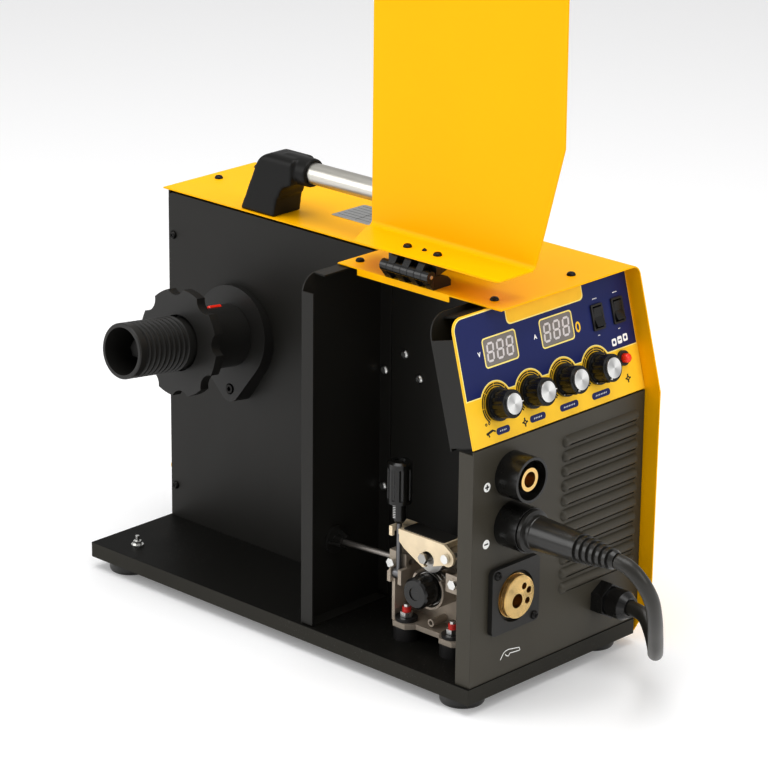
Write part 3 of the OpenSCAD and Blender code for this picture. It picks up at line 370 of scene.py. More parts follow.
blackSheet = powderCoat("blackPowderCoat", (0.0135, 0.0125, 0.0100), 0.46)
# base pan: its deck above 25.2 mm is darkened as painted shade, and it has dust specks
deckSheet = powderCoat("deckPowderCoat", (0.033, 0.031, 0.025), 0.50, 0.0006, 0.35, 0.16, 0.0252)
frontSheet = powderCoat("frontPowderCoat", (0.055, 0.049, 0.036), 0.42, 0.0008)
yellowPaint = gloss("goldenPaint", (1.0, 0.515, 0.0), 0.38, 0.0, 0.0006, 0.12)
blackPlastic = moulded("mouldedBlack", (0.0170, 0.0162, 0.0145), 0.40)
bracketPlastic = moulded("bracketPlastic", (0.009, 0.0087, 0.008), 0.40, 1500, 0.00004, 0.0002, 0.0, 0.24)
glossPlastic = moulded("glossBlack", (0.0075, 0.0072, 0.0065), 0.27, 900, 0.00003, 0.0004, 0.2)
glossKnob = moulded("knobPlastic", (0.006, 0.006, 0.006), 0.26, 900, 0.00002, 0.0005, 0.12)
blackRubber = moulded("softRubber", (0.0150, 0.0142, 0.0122), 0.30, 1300, 0.00005, 0.0006, 0.25)
jacket = moulded("leadJacket", (0.0230, 0.0212, 0.0172), 0.36, 1000, 0.00004, 0.0002, 0.1)
zinc = plated("brightZinc", (0.74, 0.74, 0.72), 0.28)
darkScrew = plated("blackOxide", (0.035, 0.034, 0.033), 0.36)
rodSteel = plated("rodSteel", (0.20, 0.20, 0.205), 0.42)
rollSteel = plated("groundSteel", (0.42, 0.41, 0.39), 0.34)
tubeSteel = plated("guideTube", (0.30, 0.28, 0.26), 0.40)
gripTube = brushed("brushedTube", (0.66, 0.64, 0.59), 0.34, (0.05, 1, 1))
casting = castMetal("greyCasting", (0.48, 0.42, 0.35), 0.48, 0.55)
armCasting = castMetal("creamCasting", (0.90, 0.76, 0.55), 0.44, 0.25)
redPlastic = moulded("signalRed", (0.86, 0.035, 0.012), 0.30, 900, 0.00002, 0.0005, 0.2)
whitePlastic = moulded("whitePlastic", (0.72, 0.70, 0.66), 0.38, 900, 0.00002, 0.0004)
motorPaint = gloss("motorPaint", (0.05, 0.05, 0.055), 0.40, 0.2)
torchBrass = lathed("turnedBrass", (0.86, 0.62, 0.28), 0.20, (0.24, -0.036, 0.0985))
socketBrass = plated("socketBrass", (0.80, 0.56, 0.24), 0.24)
boardGreen = gloss("boardLacquer", (0.004, 0.030, 0.014), 0.40, 0.1)
windingCopper = moulded("varnishedWinding", (0.22, 0.09, 0.03), 0.35, 500, 0.0002, 0.0006, 0.3)
yellowFilm = ink("yellowFilm", (0.92, 0.58, 0.035))
blueFilm = ink("blueFilm", (0.0120, 0.0205, 0.118))
paleFilm = ink("paleFilm", (0.95, 0.80, 0.28))
blackInk = ink("blackInk", (0.012, 0.012, 0.012))
whiteInk = ink("whiteInk", (0.90, 0.90, 0.88))
windowGrey = ink("displayWindow", (0.235, 0.215, 0.200), 0.22)
segmentGrey = ink("displaySegments", (0.66, 0.62, 0.62), 0.3)
plateGrey = brushed("ratingPlate", (0.60, 0.60, 0.59), 0.36, (0.05, 1, 1))
print("finishes made")


# Insulators are black, and the collars above the nuts are red
def twoTone(name, level):
    plastic = Finish(name, (0.02, 0.02, 0.02), 0.4)
    x, y, z = plastic.axes()
    plastic.set({"Base Color": plastic.blend(z > level, (0.016, 0.015, 0.015), (0.62, 0.028, 0.02)),
                 "Roughness": 0.34 + plastic.noise(60, 2) * 0.16})
    plastic.relief(plastic.noise(1200, 2), 0.3, 0.00005, 0.0004)
    return plastic.material


insulator = twoTone("insulatorTwoTone", 0.0503)

nodeFinishes = [
    (blackSheet, "divider cross_wall rear_panel control_housing"),
    (deckSheet, "base_pan"),
    (frontSheet, "lower_panel"),
    (yellowPaint, "cover door"),
    (yellowFilm, "control_panel"),
    (blackRubber, "rubber_feet polarity_plug inlet_grommet"),
    (blackPlastic, "handle_brackets hub_flange spool_hub star_nut torch_flange switch_bezels "
     "mains_switch_frame door_latch fan_frame fan_rotor"),
    (glossPlastic, "hinge_leaf_fixed hinge_leaf_moving panel_sockets cable_glands tension_knob "
     "roll_knob"),
    (glossKnob, "knob_current knob_voltage knob_inductance knob_burnback rocker_mode rocker_gas"),
    (darkScrew, "case_screws hub_bolts"),
    (zinc, "chassis_screws hinge_pin brake_spring feed_studs"),
    (rodSteel, "tension_rod"),
    (tubeSteel, "inlet_tube outlet_tube"),
    (rollSteel, "drive_roll pressure_roller"),
    (gripTube, "handle_tube"),
    (casting, "feed_body"),
    (armCasting, "pressure_arm"),
    (redPlastic, "hub_pin test_button mains_rocker"),
    (insulator, "feed_insulators"),
    (motorPaint, "gear_motor"),
    (torchBrass, "torch_connector"),
    (socketBrass, "socket_contacts gas_valve"),
    (boardGreen, "control_board power_module"),
    (windingCopper, "transformer"),
]
for finish, names in nodeFinishes:
    for name in names.split():
        data = nodes[name].data
        data.materials.clear()
        data.materials.append(finish)

# ---- the polarity lead: from the front gland round to the plug in the lower socket

lead = {"radius": 0.0067, "sides": 24, "steps": 6, "route": [
    (0.260, 0.085, 0.0595), (0.274, 0.085, 0.0595), (0.289, 0.084, 0.057), (0.302, 0.078, 0.048),
    (0.317, 0.065, 0.042), (0.333, 0.046, 0.047), (0.349, 0.026, 0.062), (0.364, 0.006, 0.086),
    (0.376, -0.011, 0.109), (0.383, -0.025, 0.132), (0.381, -0.035, 0.150), (0.371, -0.040, 0.162),
    (0.358, -0.041, 0.1655)]}


def smoothRoute(route, steps):
    line = []
    for i in range(len(route) - 1):
        a, b, c, d = (Vector(route[min(max(i + k, 0), len(route) - 1)]) for k in (-1, 0, 1, 2))
        for step in range(steps):
            u = step / steps
            line.append(0.5 * (2 * b + (c - a) * u + (2 * a - 5 * b + 4 * c - d) * u * u
                               + (3 * b - a - 3 * c + d) * u ** 3))
    return line + [Vector(route[-1])]


def tubeAlong(line, radius, sides):
    points, faces = [], []
    for k, spot in enumerate(line):
        ahead = (line[min(k + 1, len(line) - 1)] - line[max(k - 1, 0)]).normalized()
        side = ahead.cross(Vector((0.3, 0.1, 1))).normalized()
        over = side.cross(ahead)
        angles = [j * math.tau / sides for j in range(sides)]
        points += [spot + radius * (math.cos(a) * side + math.sin(a) * over) for a in angles]
        if k:
            low, high = (k - 1) * sides, k * sides
            faces += [[low + j, high + j, high + (j + 1) % sides, low + (j + 1) % sides]
                      for j in range(sides)]
    faces += [list(range(sides)), list(range(len(points) - 1, len(points) - sides - 1, -1))]
    return points, faces


leadLine = smoothRoute(lead["route"], lead["steps"])
leadLength = sum((b - a).length for a, b in zip(leadLine, leadLine[1:]))
leadTube = meshObject("polarityLeadTube", *tubeAlong(leadLine, lead["radius"], lead["sides"]), smooth=True)
settle(leadTube, jacket, "machine")
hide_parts("polarity_lead")
print("polarity lead:", round(leadLength, 4), "m")

# ---- things set out by Geometry Nodes


def scatterTree(name):
    tree = bpy.data.node_groups.new(name, "GeometryNodeTree")
    for label, kind in (("Geometry", "NodeSocketGeometry"), ("Piece", "NodeSocketObject"),
                        ("Finish", "NodeSocketMaterial"), ("Size", "NodeSocketFloat"),
                        ("Loose turn", "NodeSocketFloat"), ("Seed", "NodeSocketInt")):
        tree.interface.new_socket(name=label, in_out="INPUT", socket_type=kind)
    tree.interface.new_socket(name="Geometry", in_out="OUTPUT", socket_type="NodeSocketGeometry")
    make, link = tree.nodes.new, tree.links.new
    start, end = make("NodeGroupInput"), make("NodeGroupOutput")
    shape, spread = make("GeometryNodeObjectInfo"), make("GeometryNodeInstanceOnPoints")
    aim, align = make("GeometryNodeInputNamedAttribute"), make("FunctionNodeAlignRotationToVector")
    chance, turn = make("FunctionNodeRandomValue"), make("ShaderNodeCombineXYZ")
    toTurn, twist = make("FunctionNodeEulerToRotation"), make("FunctionNodeRotateRotation")
    real, paint = make("GeometryNodeRealizeInstances"), make("GeometryNodeSetMaterial")
    aim.data_type = "FLOAT_VECTOR"
    aim.inputs["Name"].default_value = "aim"
    align.axis = "Z"
    chance.data_type = "FLOAT"
    twist.rotation_space = "LOCAL"
    link(start.outputs["Geometry"], spread.inputs["Points"])
    link(start.outputs["Piece"], shape.inputs["Object"])
    link(shape.outputs["Geometry"], spread.inputs["Instance"])
    link(aim.outputs["Attribute"], align.inputs["Vector"])
    link(start.outputs["Loose turn"], chance.inputs[3])
    link(start.outputs["Seed"], chance.inputs["Seed"])
    link(chance.outputs[1], turn.inputs["Z"])
    link(turn.outputs[0], toTurn.inputs[0])
    link(align.outputs[0], twist.inputs[0])
    link(toTurn.outputs[0], twist.inputs[1])
    link(twist.outputs[0], spread.inputs["Rotation"])
    link(start.outputs["Size"], spread.inputs["Scale"])
    link(spread.outputs[0], real.inputs[0])
    link(real.outputs[0], paint.inputs["Geometry"])
    link(start.outputs["Finish"], paint.inputs["Material"])
    link(paint.outputs[0], end.inputs[0])
    return tree


setOut = scatterTree("setOutAtPoints")


def setOutPieces(name, shape, spots, finish, size=1.0, looseTurn=0.0, seed=1):
    cloud = meshObject(name + "Points", [Vector(p) * mm for p, _ in spots], [])
    aim = cloud.data.attributes.new("aim", "FLOAT_VECTOR", "POINT")
    for k, (_, way) in enumerate(spots):
        aim.data[k].vector = way
    modifier = cloud.modifiers.new("setOut", "NODES")
    modifier.node_group = setOut
    given = {"Piece": shape, "Finish": finish, "Size": size, "Loose turn": looseTurn, "Seed": seed}
    for item in setOut.interface.items_tree:
        if item.in_out == "INPUT" and item.name in given:
            modifier[item.identifier] = given[item.name]
    bpy.context.view_layer.update()
    graph = bpy.context.evaluated_depsgraph_get()
    data = bpy.data.meshes.new_from_object(cloud.evaluated_get(graph))
    data.name = name
    bpy.data.objects.remove(cloud)
    piece = bpy.data.objects.new(name, data)
    scene.collection.objects.link(piece)
    return piece


# ---- screws with a cross recess

screw = {"headRadius": 4.0, "crown": 2.5, "crossLength": 2.1, "crossWidth": 0.75, "crossDepth": 1.3,
         "crossTaper": 0.8, "looseTurn": 6.28, "brightSize": 0.9}


def panHead(name, s):
    r, top = s["headRadius"], s["crown"]
    a, w = s["crossLength"], s["crossWidth"] / 2
    cross = [(a, -w), (a, w), (w, w), (w, a), (-w, a), (-w, w),
             (-a, w), (-a, -w), (-w, -w), (-w, -a), (w, -a), (w, -w)]
    sides = 28
    levels = [(r * 0.97, 0.02), (r, 0.35), (r * 0.96, 1.1), (r * 0.86, 1.75), (r * 0.70, top)]
    points = [(q * math.cos(k * math.tau / sides), q * math.sin(k * math.tau / sides), z)
              for q, z in levels for k in range(sides)]
    faces = [[i * sides + k, i * sides + (k + 1) % sides,
              (i + 1) * sides + (k + 1) % sides, (i + 1) * sides + k]
             for i in range(len(levels) - 1) for k in range(sides)]
    rim = [Vector(p[:2]).to_3d() for p in points[-sides:]]
    hole = [Vector((x, y, 0)) for x, y in cross][::-1]
    base = len(points) - sides
    points += [(p.x, p.y, top) for p in hole]
    points += [(p.x * s["crossTaper"], p.y * s["crossTaper"], top - s["crossDepth"]) for p in hole]
    for tri in tessellate_polygon([rim, hole]):
        tri = [base + k for k in tri]
        if loopArea([points[k] for k in tri]) < 0:
            tri.reverse()
        faces.append(tri)
    wall = base + sides
    n = len(hole)
    faces += [[wall + n + (k + 1) % n, wall + n + k, wall + k, wall + (k + 1) % n] for k in range(n)]
    faces.append([wall + n + k for k in range(n - 1, -1, -1)])
    faces.append(list(range(sides - 1, -1, -1)))
    return meshObject(name, [Vector(p) * mm for p in points], faces)


screwShape = panHead("screwShape", screw)
screwPlaces = {"roof": 353.8, "side": 137.5, "flange": 244, "rear": -240, "divider": 12.3,
               "wallFold": 10.8, "door": (122, -28, 379.4), "doorSpacing": 35}
stopStud = {"place": (0.122, -0.0256, 0), "low": 378.4, "radius": 2.3, "sides": 6}
doorMiddle, doorY, doorZ = screwPlaces["door"]
topSpots = [((x, y, screwPlaces["roof"]), (0, 0, 1)) for x, y in
            ((-228, 67.7), (-228, 120), (47.5, -27.2), (203.7, -26.5), (204, 72.3))]
sideSpots = [((x, screwPlaces["side"], z), (0, 1, 0)) for x, z in
             ((-215, 40), (0, 40), (205, 40), (-215, 300), (190, 300))]
torchSpots = [((screwPlaces["flange"], y, z), (1, 0, 0)) for y, z in ((-60, 123.5), (-12, 73.5))]
rearSpots = [((screwPlaces["rear"], y, z), (-1, 0, 0)) for y in (25, 125) for z in (100, 200)]
dividerSpots = [((-232.5, screwPlaces["divider"], z), (0, -1, 0)) for z in (309, 57.6)]
brightSpots = [((x, screwPlaces["divider"], z), (0, -1, 0)) for x, z in ((66, 263), (84, 244))]
brightSpots += [((43, screwPlaces["wallFold"], z), (0, -1, 0)) for z in (243, 132)]
doorSpots = [((doorMiddle + side * screwPlaces["doorSpacing"] / 2, doorY, doorZ), (0, 0, 1))
             for side in (-1, 1)]
blackSpots = topSpots + sideSpots + torchSpots + rearSpots + dividerSpots
blackScrews = setOutPieces("blackScrewHeads", screwShape, blackSpots, darkScrew, 1.0,
                           screw["looseTurn"], 4)
settle(blackScrews, darkScrew, "machine")
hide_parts("case_screws")
doorScrews = setOutPieces("doorScrewHeads", screwShape, doorSpots, darkScrew, 1.0,
                          screw["looseTurn"], 6)
settle(doorScrews, darkScrew, "door")
studLow, studRadius = stopStud["low"], stopStud["radius"]
doorStop = turned([(0, studLow), (studRadius, studLow), (studRadius, studLow + 1.6), (0.4, studLow + 3.2),
                   (0, studLow + 3.2)], Matrix.Translation(stopStud["place"]), stopStud["sides"])
settle(joined("doorStopStud", [doorStop]), darkScrew, "door")
brightScrews = setOutPieces("brightScrewHeads", screwShape, brightSpots, zinc,
                            screw["brightSize"], screw["looseTurn"], 9)
settle(brightScrews, zinc, "machine")
bpy.data.objects.remove(screwShape)
print("screws set out")

# ---- label on the slanted panel

label = {"left": -88.2, "right": 134.4, "low": 1.1, "high": 112.8, "corner": 11.8, "rim": 1.9, "line": 1.1,
         "split": 42.6, "bump": 20.4, "tab": (-22, 75, 95),
         "knobFirst": -51.5, "knobPitch": 43.2, "knobHeight": 32.5,
         "displays": (-35.8, 36.7), "displayHeight": 76.6, "window": (40, 23.5),
         "rockers": (90, 117), "rockerHeight": 75.4, "rockerHole": (14.6, 22.6),
         "button": (113, 33.3), "buttonHole": 7, "shaftHole": 5}
knobSpots = [label["knobFirst"] + k * label["knobPitch"] for k in range(4)]


def panelPiece(name, plates, finish, low, high, place=slope, body="machine"):
    return settle(joined(name, [plate(loops, place, low, high) for loops in plates]), finish, body)


def cutOuts(extra):
    wide, high = (size + extra for size in label["window"])
    holes = [roundedBox(y, label["displayHeight"], wide, high, 2.5) for y in label["displays"]]
    return holes + [roundedBox(y, label["rockerHeight"], *label["rockerHole"], 1.5)
                    for y in label["rockers"]]


# The blue field: its lower edge steps over each knob. A positive growth gives the line round it
def blueEdge(s, growth):
    bump = s["bump"] - growth
    split = s["split"] - growth
    half = math.degrees(math.asin((split - s["knobHeight"]) / bump))
    rim = s["rim"] - growth
    edge = [(s["left"] + rim, split)]
    for y in knobSpots:
        edge += arcPoints(y, s["knobHeight"], bump, 180 - half, half, 16)
    edge += [(s["right"], split), (s["right"], s["high"] - rim)]
    return edge + arcPoints(s["left"] + s["corner"], s["high"] - s["corner"], s["corner"] - rim, 90, 180, 8)


def tabEdge(s, growth):
    left, right, low = s["tab"]
    left, right, low = left - growth, right + growth, low - growth
    return ([(left, s["high"])] + arcPoints(left + 5, low + 5, 5, 180, 270, 6)
            + arcPoints(right - 5, low + 5, 5, 270, 360, 6) + [(right, s["high"])])


def labelFilms(s):
    filmEdge = ([(s["left"], s["low"]), (s["right"], s["low"]), (s["right"], s["high"])]
                + arcPoints(s["left"] + s["corner"], s["high"] - s["corner"], s["corner"], 90, 180, 8))
    shafts = [ring(y, s["knobHeight"], s["shaftHole"]) for y in knobSpots]
    shafts.append(ring(*s["button"], s["buttonHole"]))
    panelPiece("labelYellow", [[filmEdge] + cutOuts(0) + shafts], yellowFilm, 0.02, 0.16)
    panelPiece("labelOutline", [[blueEdge(s, s["line"])] + cutOuts(1.6)], paleFilm, 0.1, 0.2)
    panelPiece("labelBlue", [[blueEdge(s, 0)] + cutOuts(1.6)], blueFilm, 0.15, 0.25)
    panelPiece("titleTabOutline", [[tabEdge(s, s["line"])]], paleFilm, 0.2, 0.3)
    panelPiece("titleTab", [[tabEdge(s, 0)]], yellowFilm, 0.25, 0.36)
    wide, high = s["window"]
    frames = [[roundedBox(y, s["displayHeight"], wide + 2.6, high + 2.6, 3.4),
               roundedBox(y, s["displayHeight"], wide, high, 2.4)] for y in s["displays"]]
    panelPiece("displayFrames", frames, paleFilm, 0.15, 0.4)


labelFilms(label)


def dialMarks(y, height):
    rings, first, last, step, gap = ((17.1, 18.3), (15.2, 16.3)), -48, 228, 46, 1.2
    return [[band(y, height, inner, outer, start + gap, start + step - gap, 8)]
            for start in range(first, last, step) for inner, outer in rings]


dialScales = [m for y in knobSpots for m in dialMarks(y, label["knobHeight"])]
panelPiece("dialScales", dialScales, blackInk, 0.2, 0.32)


def digitBars(x, y, width, height, slant, thick):
    parts = []
    half, gap = height / 2, 0.28
    across = [(0, level, width, level) for level in (height, half, 0)]
    upright = [(side, low, side, low + half) for side in (0, width) for low in (half, 0)]
    for x0, y0, x1, y1 in across + upright:
        along = Vector((x1 - x0, y1 - y0)).normalized()
        over = Vector((-along.y, along.x)) * thick / 2
        a, b = Vector((x0, y0)) + along * gap, Vector((x1, y1)) - along * gap
        hexagon = [a, a + along * thick / 2 - over, b - along * thick / 2 - over, b,
                   b - along * thick / 2 + over, a + along * thick / 2 + over]
        parts.append([[(x + p.x + p.y * slant, y + p.y) for p in hexagon]])
    return parts


display = {"digitWidth": 7.2, "digitHeight": 14.8, "step": 12.2, "slant": 0.10, "thick": 2.0,
           "first": -16.6, "digits": 3, "play": 0.4}
digitLow = label["displayHeight"] - display["digitHeight"] / 2
for number, y in enumerate(label["displays"]):
    wide, high = (size - display["play"] for size in label["window"])
    spot = [[roundedBox(y, label["displayHeight"], wide, high, 2.3)]]
    panelPiece(f"displayWindow{number}", spot, windowGrey, -0.6, 0.12)
    digits = [part for k in range(display["digits"]) for part in digitBars(
        y + display["first"] + k * display["step"], digitLow, display["digitWidth"],
        display["digitHeight"], display["slant"], display["thick"])]
    panelPiece(f"displayDigits{number}", digits, segmentGrey, 0.1, 0.2)


def written(name, words, size, x, y, place, finish, body="machine", lift=0.3):
    curve = bpy.data.curves.new(name, "FONT")
    curve.body = words
    curve.size = size * mm
    curve.align_x, curve.align_y = "CENTER", "CENTER"
    curve.extrude = 0.04 * mm
    curve.offset = 0.04 * size * mm
    holder = bpy.data.objects.new(name, curve)
    scene.collection.objects.link(holder)
    bpy.context.view_layer.update()
    graph = bpy.context.evaluated_depsgraph_get()
    data = bpy.data.meshes.new_from_object(holder.evaluated_get(graph))
    bpy.data.objects.remove(holder)
    data.transform(place @ Matrix.Translation((x * mm, y * mm, lift * mm)))
    data.name = name
    piece = bpy.data.objects.new(name, data)
    scene.collection.objects.link(piece)
    return settle(piece, finish, body)


written("voltMark", "V", 5.5, -62.3, 77.3, slope, whiteInk)
written("ampereMark", "A", 5.5, 8.7, 76.3, slope, whiteInk)


signs = {"oval": (63.5, 72.6), "ovalSizes": ((3.3, 4.8), (1.4, 2.9)),
         "rockerDots": ((91.5, 4), (59.4, 2)), "keys": ((106, 49), (113.6, 49.6), (121.2, 50.2)),
         "pills": ((-49.4, 17), (-5, 20), (36, 24), (78.4, 24)), "pillHeight": 9.5, "dash": 2.2,
         "crosses": ((-21.4, 9.3), (116.3, 14.6)), "dots": ((-68.5, 18.5), (-64.6, 18.9)),
         "torch": ((-70, 10.2, -62, 12.2, 2.0), (-62.4, 12.4, -58.6, 10.6, 1.3),
                   (-67.8, 10.2, -66.8, 7.4, 1.4))}


def ellipse(x, y, wide, high, count=24):
    return [(x + wide * math.cos(k * math.tau / count), y + high * math.sin(k * math.tau / count))
            for k in range(count)]


# A ring with four short arms
def crossSign(y, t):
    arms = [[bar(y + side * 3.4, t, y + side * 1.7, t, 1.4)] for side in (-1, 1)]
    arms += [[bar(y, t + side * 3.8, y, t + side * 1.7, 1.4)] for side in (-1, 1)]
    return arms + [[ring(y, t, 2.0, 14), ring(y, t, 0.9, 14)]]


# A dark pill with a row of short dashes
def pill(y, width, s):
    count = int((width - 7) / s["dash"])
    starts = [y + s["dash"] * (k - count / 2) + 0.5 for k in range(count)]
    dashes = [[bar(x, s["pillHeight"] - 0.6, x + 1.2, s["pillHeight"] + 0.6, 0.7)] for x in starts]
    return [roundedBox(y, s["pillHeight"], width, 6, 2.9)], dashes


def panelSigns(s):
    pills = [pill(y, width, s) for y, width in s["pills"]]
    white = [[ring(y - 2.2 + 1.5 * k, t, 0.55, 10)]
             for y in label["rockers"] for t, count in s["rockerDots"] for k in range(count)]
    for k, (y, t) in enumerate(s["keys"]):
        eye = roundedBox(y, t, 3.4, 1.2, 0.4) if k == 1 else ring(y, t, 1.5, 14)
        white.append([roundedBox(y, t, 6, 6.6, 1.4), eye])
    white += [dash for _, dashes in pills for dash in dashes]
    black = [part for spot in s["crosses"] for part in crossSign(*spot)]
    black += [[bar(*stroke)] for stroke in s["torch"]]
    black += [[ring(*spot, 1.3, 12), ring(*spot, 0.6, 12)] for spot in s["dots"]]
    oval = [[ellipse(*s["oval"], *size) for size in s["ovalSizes"]]]
    panelPiece("ovalSign", oval, yellowFilm, 0.2, 0.34)
    panelPiece("navyPills", [shape for shape, _ in pills], blueFilm, 0.14, 0.28)
    panelPiece("whiteSigns", white, whiteInk, 0.2, 0.36)
    panelPiece("blackSigns", black, blackInk, 0.14, 0.28)


panelSigns(signs)
print("label printed")

# ---- control knobs: spun metal caps with a white line

knobCap = {"radius": 9.1, "thick": 0.9, "base": 20.2,
           "turns": {"knob_current": -90, "knob_voltage": -90, "knob_inductance": 150, "knob_burnback": 150},
           "pointer": ((8.3, 10.8), (10.6, 13.9)), "pointerWidth": 0.9, "skirt": (4.25, 4.6)}


def knobCaps(s):
    r, low, high = s["radius"], s["base"] - 0.5, s["base"] + s["thick"]
    profile = [(0, low), (r, low), (r, high - 0.25), (r - 0.3, high), (1.2, high - 0.12), (0, high - 0.12)]
    (first, second), wide = s["pointer"], s["pointerWidth"]
    for (body, turn), y in zip(s["turns"].items(), knobSpots):
        place = slope @ Matrix.Translation((y * mm, label["knobHeight"] * mm, 0)) @ Matrix.Rotation(
            math.radians(turn), 4, "Z")
        centre = tuple(place @ Vector((0, 0, 0.02)))
        # the cap's spun finish has lathe rings and a painted highlight in sectors
        spunCapWithPaintedHighlight = lathed(body + "Cap", (0.84, 0.84, 0.83), 0.30, centre, (0, lean, 0), 0.0005, 0.00001, 0.85)
        settle(joined(body + "CapDisc", [turned(profile, place, 48)]), spunCapWithPaintedHighlight, body)
        line = [plate([bar(0, first[0], 0, first[1], wide)], place, high - 1.9, high - 0.1),
                plate([bar(0, second[0], 0, second[1], wide)], place, *s["skirt"])]
        settle(joined(body + "Pointer", line), whitePlastic, body)


knobCaps(knobCap)

testButton = {"radius": 4.2, "base": -4, "rim": 6.4, "dome": 2.9}


def domedButton(s):
    y, height = label["button"]
    place = slope @ Matrix.Translation((y * mm, height * mm, 0))
    r, rim, dome = s["radius"], s["rim"], s["dome"]
    cap = [(r * math.cos(math.radians(a)), rim + dome * math.sin(math.radians(a)))
           for a in range(0, 90, 10)]
    profile = [(0, s["base"]), (r, s["base"])] + cap + [(0, rim + dome)]
    button = joined("testButtonCap", [turned(profile, place, 40)], True)
    settle(button, redPlastic, "test_button")
    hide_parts("test_button")


domedButton(testButton)

# ---- handle brackets: the moulded shape with every edge well rounded

bracket = {"voxel": 1.1, "passes": 14}


def softBrackets(s):
    data = nodes["handle_brackets"].data.copy()
    piece = bpy.data.objects.new("handleBracketMouldings", data)
    scene.collection.objects.link(piece)
    made = bmesh.new()
    made.from_mesh(data)
    bmesh.ops.remove_doubles(made, verts=made.verts, dist=0.00001)
    made.to_mesh(data)
    made.free()
    remesh = piece.modifiers.new("remesh", "REMESH")
    remesh.mode = "VOXEL"
    remesh.voxel_size = s["voxel"] * mm
    remesh.use_smooth_shade = True
    smooth = piece.modifiers.new("smooth", "SMOOTH")
    smooth.factor = 0.5
    smooth.iterations = s["passes"]
    bpy.context.view_layer.update()
    graph = bpy.context.evaluated_depsgraph_get()
    final = bpy.data.meshes.new_from_object(piece.evaluated_get(graph))
    piece.modifiers.clear()
    piece.data = final
    settle(piece, bracketPlastic, "machine")
    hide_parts("handle_brackets")


softBrackets(bracket)

# ---- black sheet on top of the pressure arm, as painted shade over its top

armShadeSheet = {"x": (124.5, 172.5), "y": (-50.6, -31.5), "height": 130.5, "thick": 0.9}


def addArmShadeSheet(s):
    (x0, x1), (y0, y1) = s["x"], s["y"]
    outline = roundedBox((x0 + x1) / 2, (y0 + y1) / 2, x1 - x0, y1 - y0, 2)
    place = Matrix.Translation((0, 0, s["height"] * mm))
    # painted shade: a thin black sheet darkens the arm's top
    settle(joined("armTopPad", [plate([outline], place, 0.01, s["thick"])]), blackPlastic, "pressure_arm")


addArmShadeSheet(armShadeSheet)

# ---- marks and small parts on the lower panel

frontMarks = {"plus": (-70.9, 206.2), "minus": (-70.6, 154.4), "disc": 4.2, "arm": 2.4, "stroke": 1.3,
              "torch": [(-49, 40.6), (-45.2, 45.6), (-43, 47), (-38.6, 47.6), (-24.4, 45.2), (-23.3, 42.3),
                        (-31, 42.9), (-36.4, 43.6), (-38.4, 41.2), (-41.2, 42.6), (-42.6, 44.2)],
              "torchStroke": 0.85}


def lowerMarks(s):
    discs, strokes = [], []
    arm, width = s["arm"], s["stroke"]
    for kind in ("plus", "minus"):
        y, z = s[kind]
        discs.append([ring(y, z, s["disc"], 32)])
        strokes.append([bar(y - arm, z, y + arm, z, width)])
        if kind == "plus":
            strokes += [[bar(y, z + way * width / 2, y, z + way * arm, width)] for way in (1, -1)]
    panelPiece("socketDiscs", discs, whiteInk, 0.02, 0.16, front)
    panelPiece("socketSigns", strokes, blackInk, 0.1, 0.24, front)
    torch = [[bar(*a, *b, s["torchStroke"])] for a, b in zip(s["torch"], s["torch"][1:])]
    panelPiece("torchSign", torch, whiteInk, 0.02, 0.16, front)


lowerMarks(frontMarks)

ratingPlate = {"x": -30, "y": 78, "width": 78, "depth": 44, "rows": 6, "rowPitch": 6.4, "margin": 3,
               "columns": (-12, 14), "line": 0.45}


def addRatingPlate(s):
    x, y, half, deep, line = s["x"], s["y"], s["width"] / 2 - s["margin"], s["depth"] / 2, s["line"]
    panelPiece("ratingPlateSheet", [[roundedBox(x, y, s["width"], s["depth"], 2)]], plateGrey, 0.02, 0.5,
               roof)
    levels = [y + deep - 5 - k * s["rowPitch"] for k in range(s["rows"])]
    lines = [[bar(x - half, level, x + half, level, line)] for level in levels]
    lines += [[bar(x + dx, y - deep + 4, x + dx, y + deep - 6, line)] for dx in s["columns"]]
    panelPiece("ratingPlateLines", lines, blackInk, 0.45, 0.56, roof)


addRatingPlate(ratingPlate)
print("marks done")

# ---- tension knob: slanted scale on its neck

tensionScale = {"x": 117.5, "y": -48, "radius": 5.84, "low": 138.5, "step": 1.6, "count": 9,
                "start": 222, "turn": 9, "climb": 0.22, "width": 0.6, "thick": 0.12, "steps": 6}


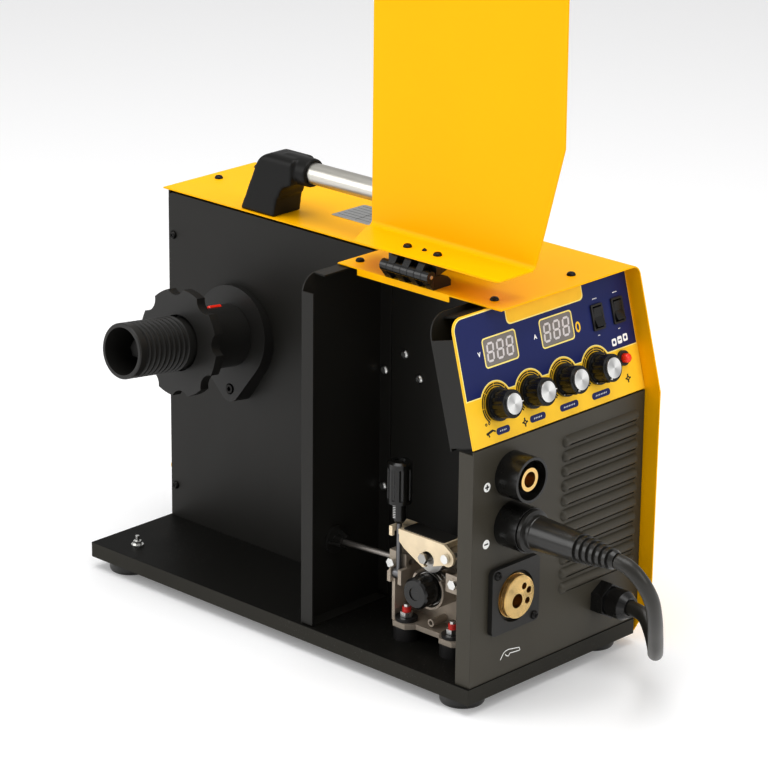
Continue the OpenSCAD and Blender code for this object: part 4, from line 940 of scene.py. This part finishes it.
def addTensionScale(s):
    parts = []
    low, high, width = s["radius"], s["radius"] + s["thick"], s["width"]
    for k in range(s["count"]):
        points = []
        for j in range(s["steps"] + 1):
            angle = math.radians(s["start"] + j * s["turn"])
            height = s["low"] + k * s["step"] + j * s["climb"]
            for r, dz in ((low, 0), (low, width), (high, width), (high, 0)):
                points.append(Vector((s["x"] + r * math.cos(angle), s["y"] + r * math.sin(angle),
                                      height + dz)) * mm)
        last = 4 * s["steps"]
        faces = [[j + i, j + (i + 1) % 4, j + 4 + (i + 1) % 4, j + 4 + i]
                 for j in range(0, last, 4) for i in range(4)]
        faces += [[3, 2, 1, 0], [last, last + 1, last + 2, last + 3]]
        parts.append((points, faces))
    settle(joined("tensionScaleMarks", parts), whiteInk, "tension_knob")


addTensionScale(tensionScale)

# ---- stage and light

stage = {"floor": (0.82, 0.82, 0.825), "glow": 0.19, "world": 0.60, "size": 16, "contrast": 0.84}


def addStage(s):
    half = s["size"] / 2
    corners = [(-half, -half, 0), (half, -half, 0), (half, half, 0), (-half, half, 0)]
    floor = meshObject("studioFloor", corners, [(0, 1, 2, 3)])
    pale = Finish("studioFloorPaint", s["floor"], 0.55, Emission_Strength=s["glow"],
                  Emission_Color=(1, 1, 1, 1))
    pale.set({"Roughness": 0.5 + pale.noise(3, 2) * 0.1})
    floor.data.materials.append(pale.material)
    world = bpy.data.worlds.new("studioWorld")
    world.use_nodes = True
    backdrop = world.node_tree.nodes["Background"].inputs
    backdrop["Color"].default_value = (1, 1, 1, 1)
    backdrop["Strength"].default_value = s["world"]
    scene.world = world


def addLamp(name, place, aim, size, power, tint=(1, 1, 1)):
    data = bpy.data.lights.new(name, "AREA")
    data.shape = "RECTANGLE"
    data.size, data.size_y = size
    data.energy = power
    data.color = tint
    lamp = bpy.data.objects.new(name, data)
    scene.collection.objects.link(lamp)
    way = (Vector(aim) - Vector(place)).normalized()
    lamp.matrix_world = Matrix.Translation(place) @ way.to_track_quat("-Z", "Y").to_matrix().to_4x4()


addStage(stage)
addLamp("topSoftbox", (0.2, -0.3, 2.6), (0, 0, 0.2), (2.4, 2.0), 46)
addLamp("leftSoftbox", (-1.6, -2.2, 1.3), (0, 0, 0.3), (1.6, 1.8), 26)
addLamp("frontSoftbox", (2.6, 0.6, 1.4), (0, 0, 0.25), (1.4, 1.8), 20, (1, 0.985, 0.96))
scene.view_settings.view_transform = "Standard"
scene.view_settings.gamma = stage["contrast"]
print("stage lit")
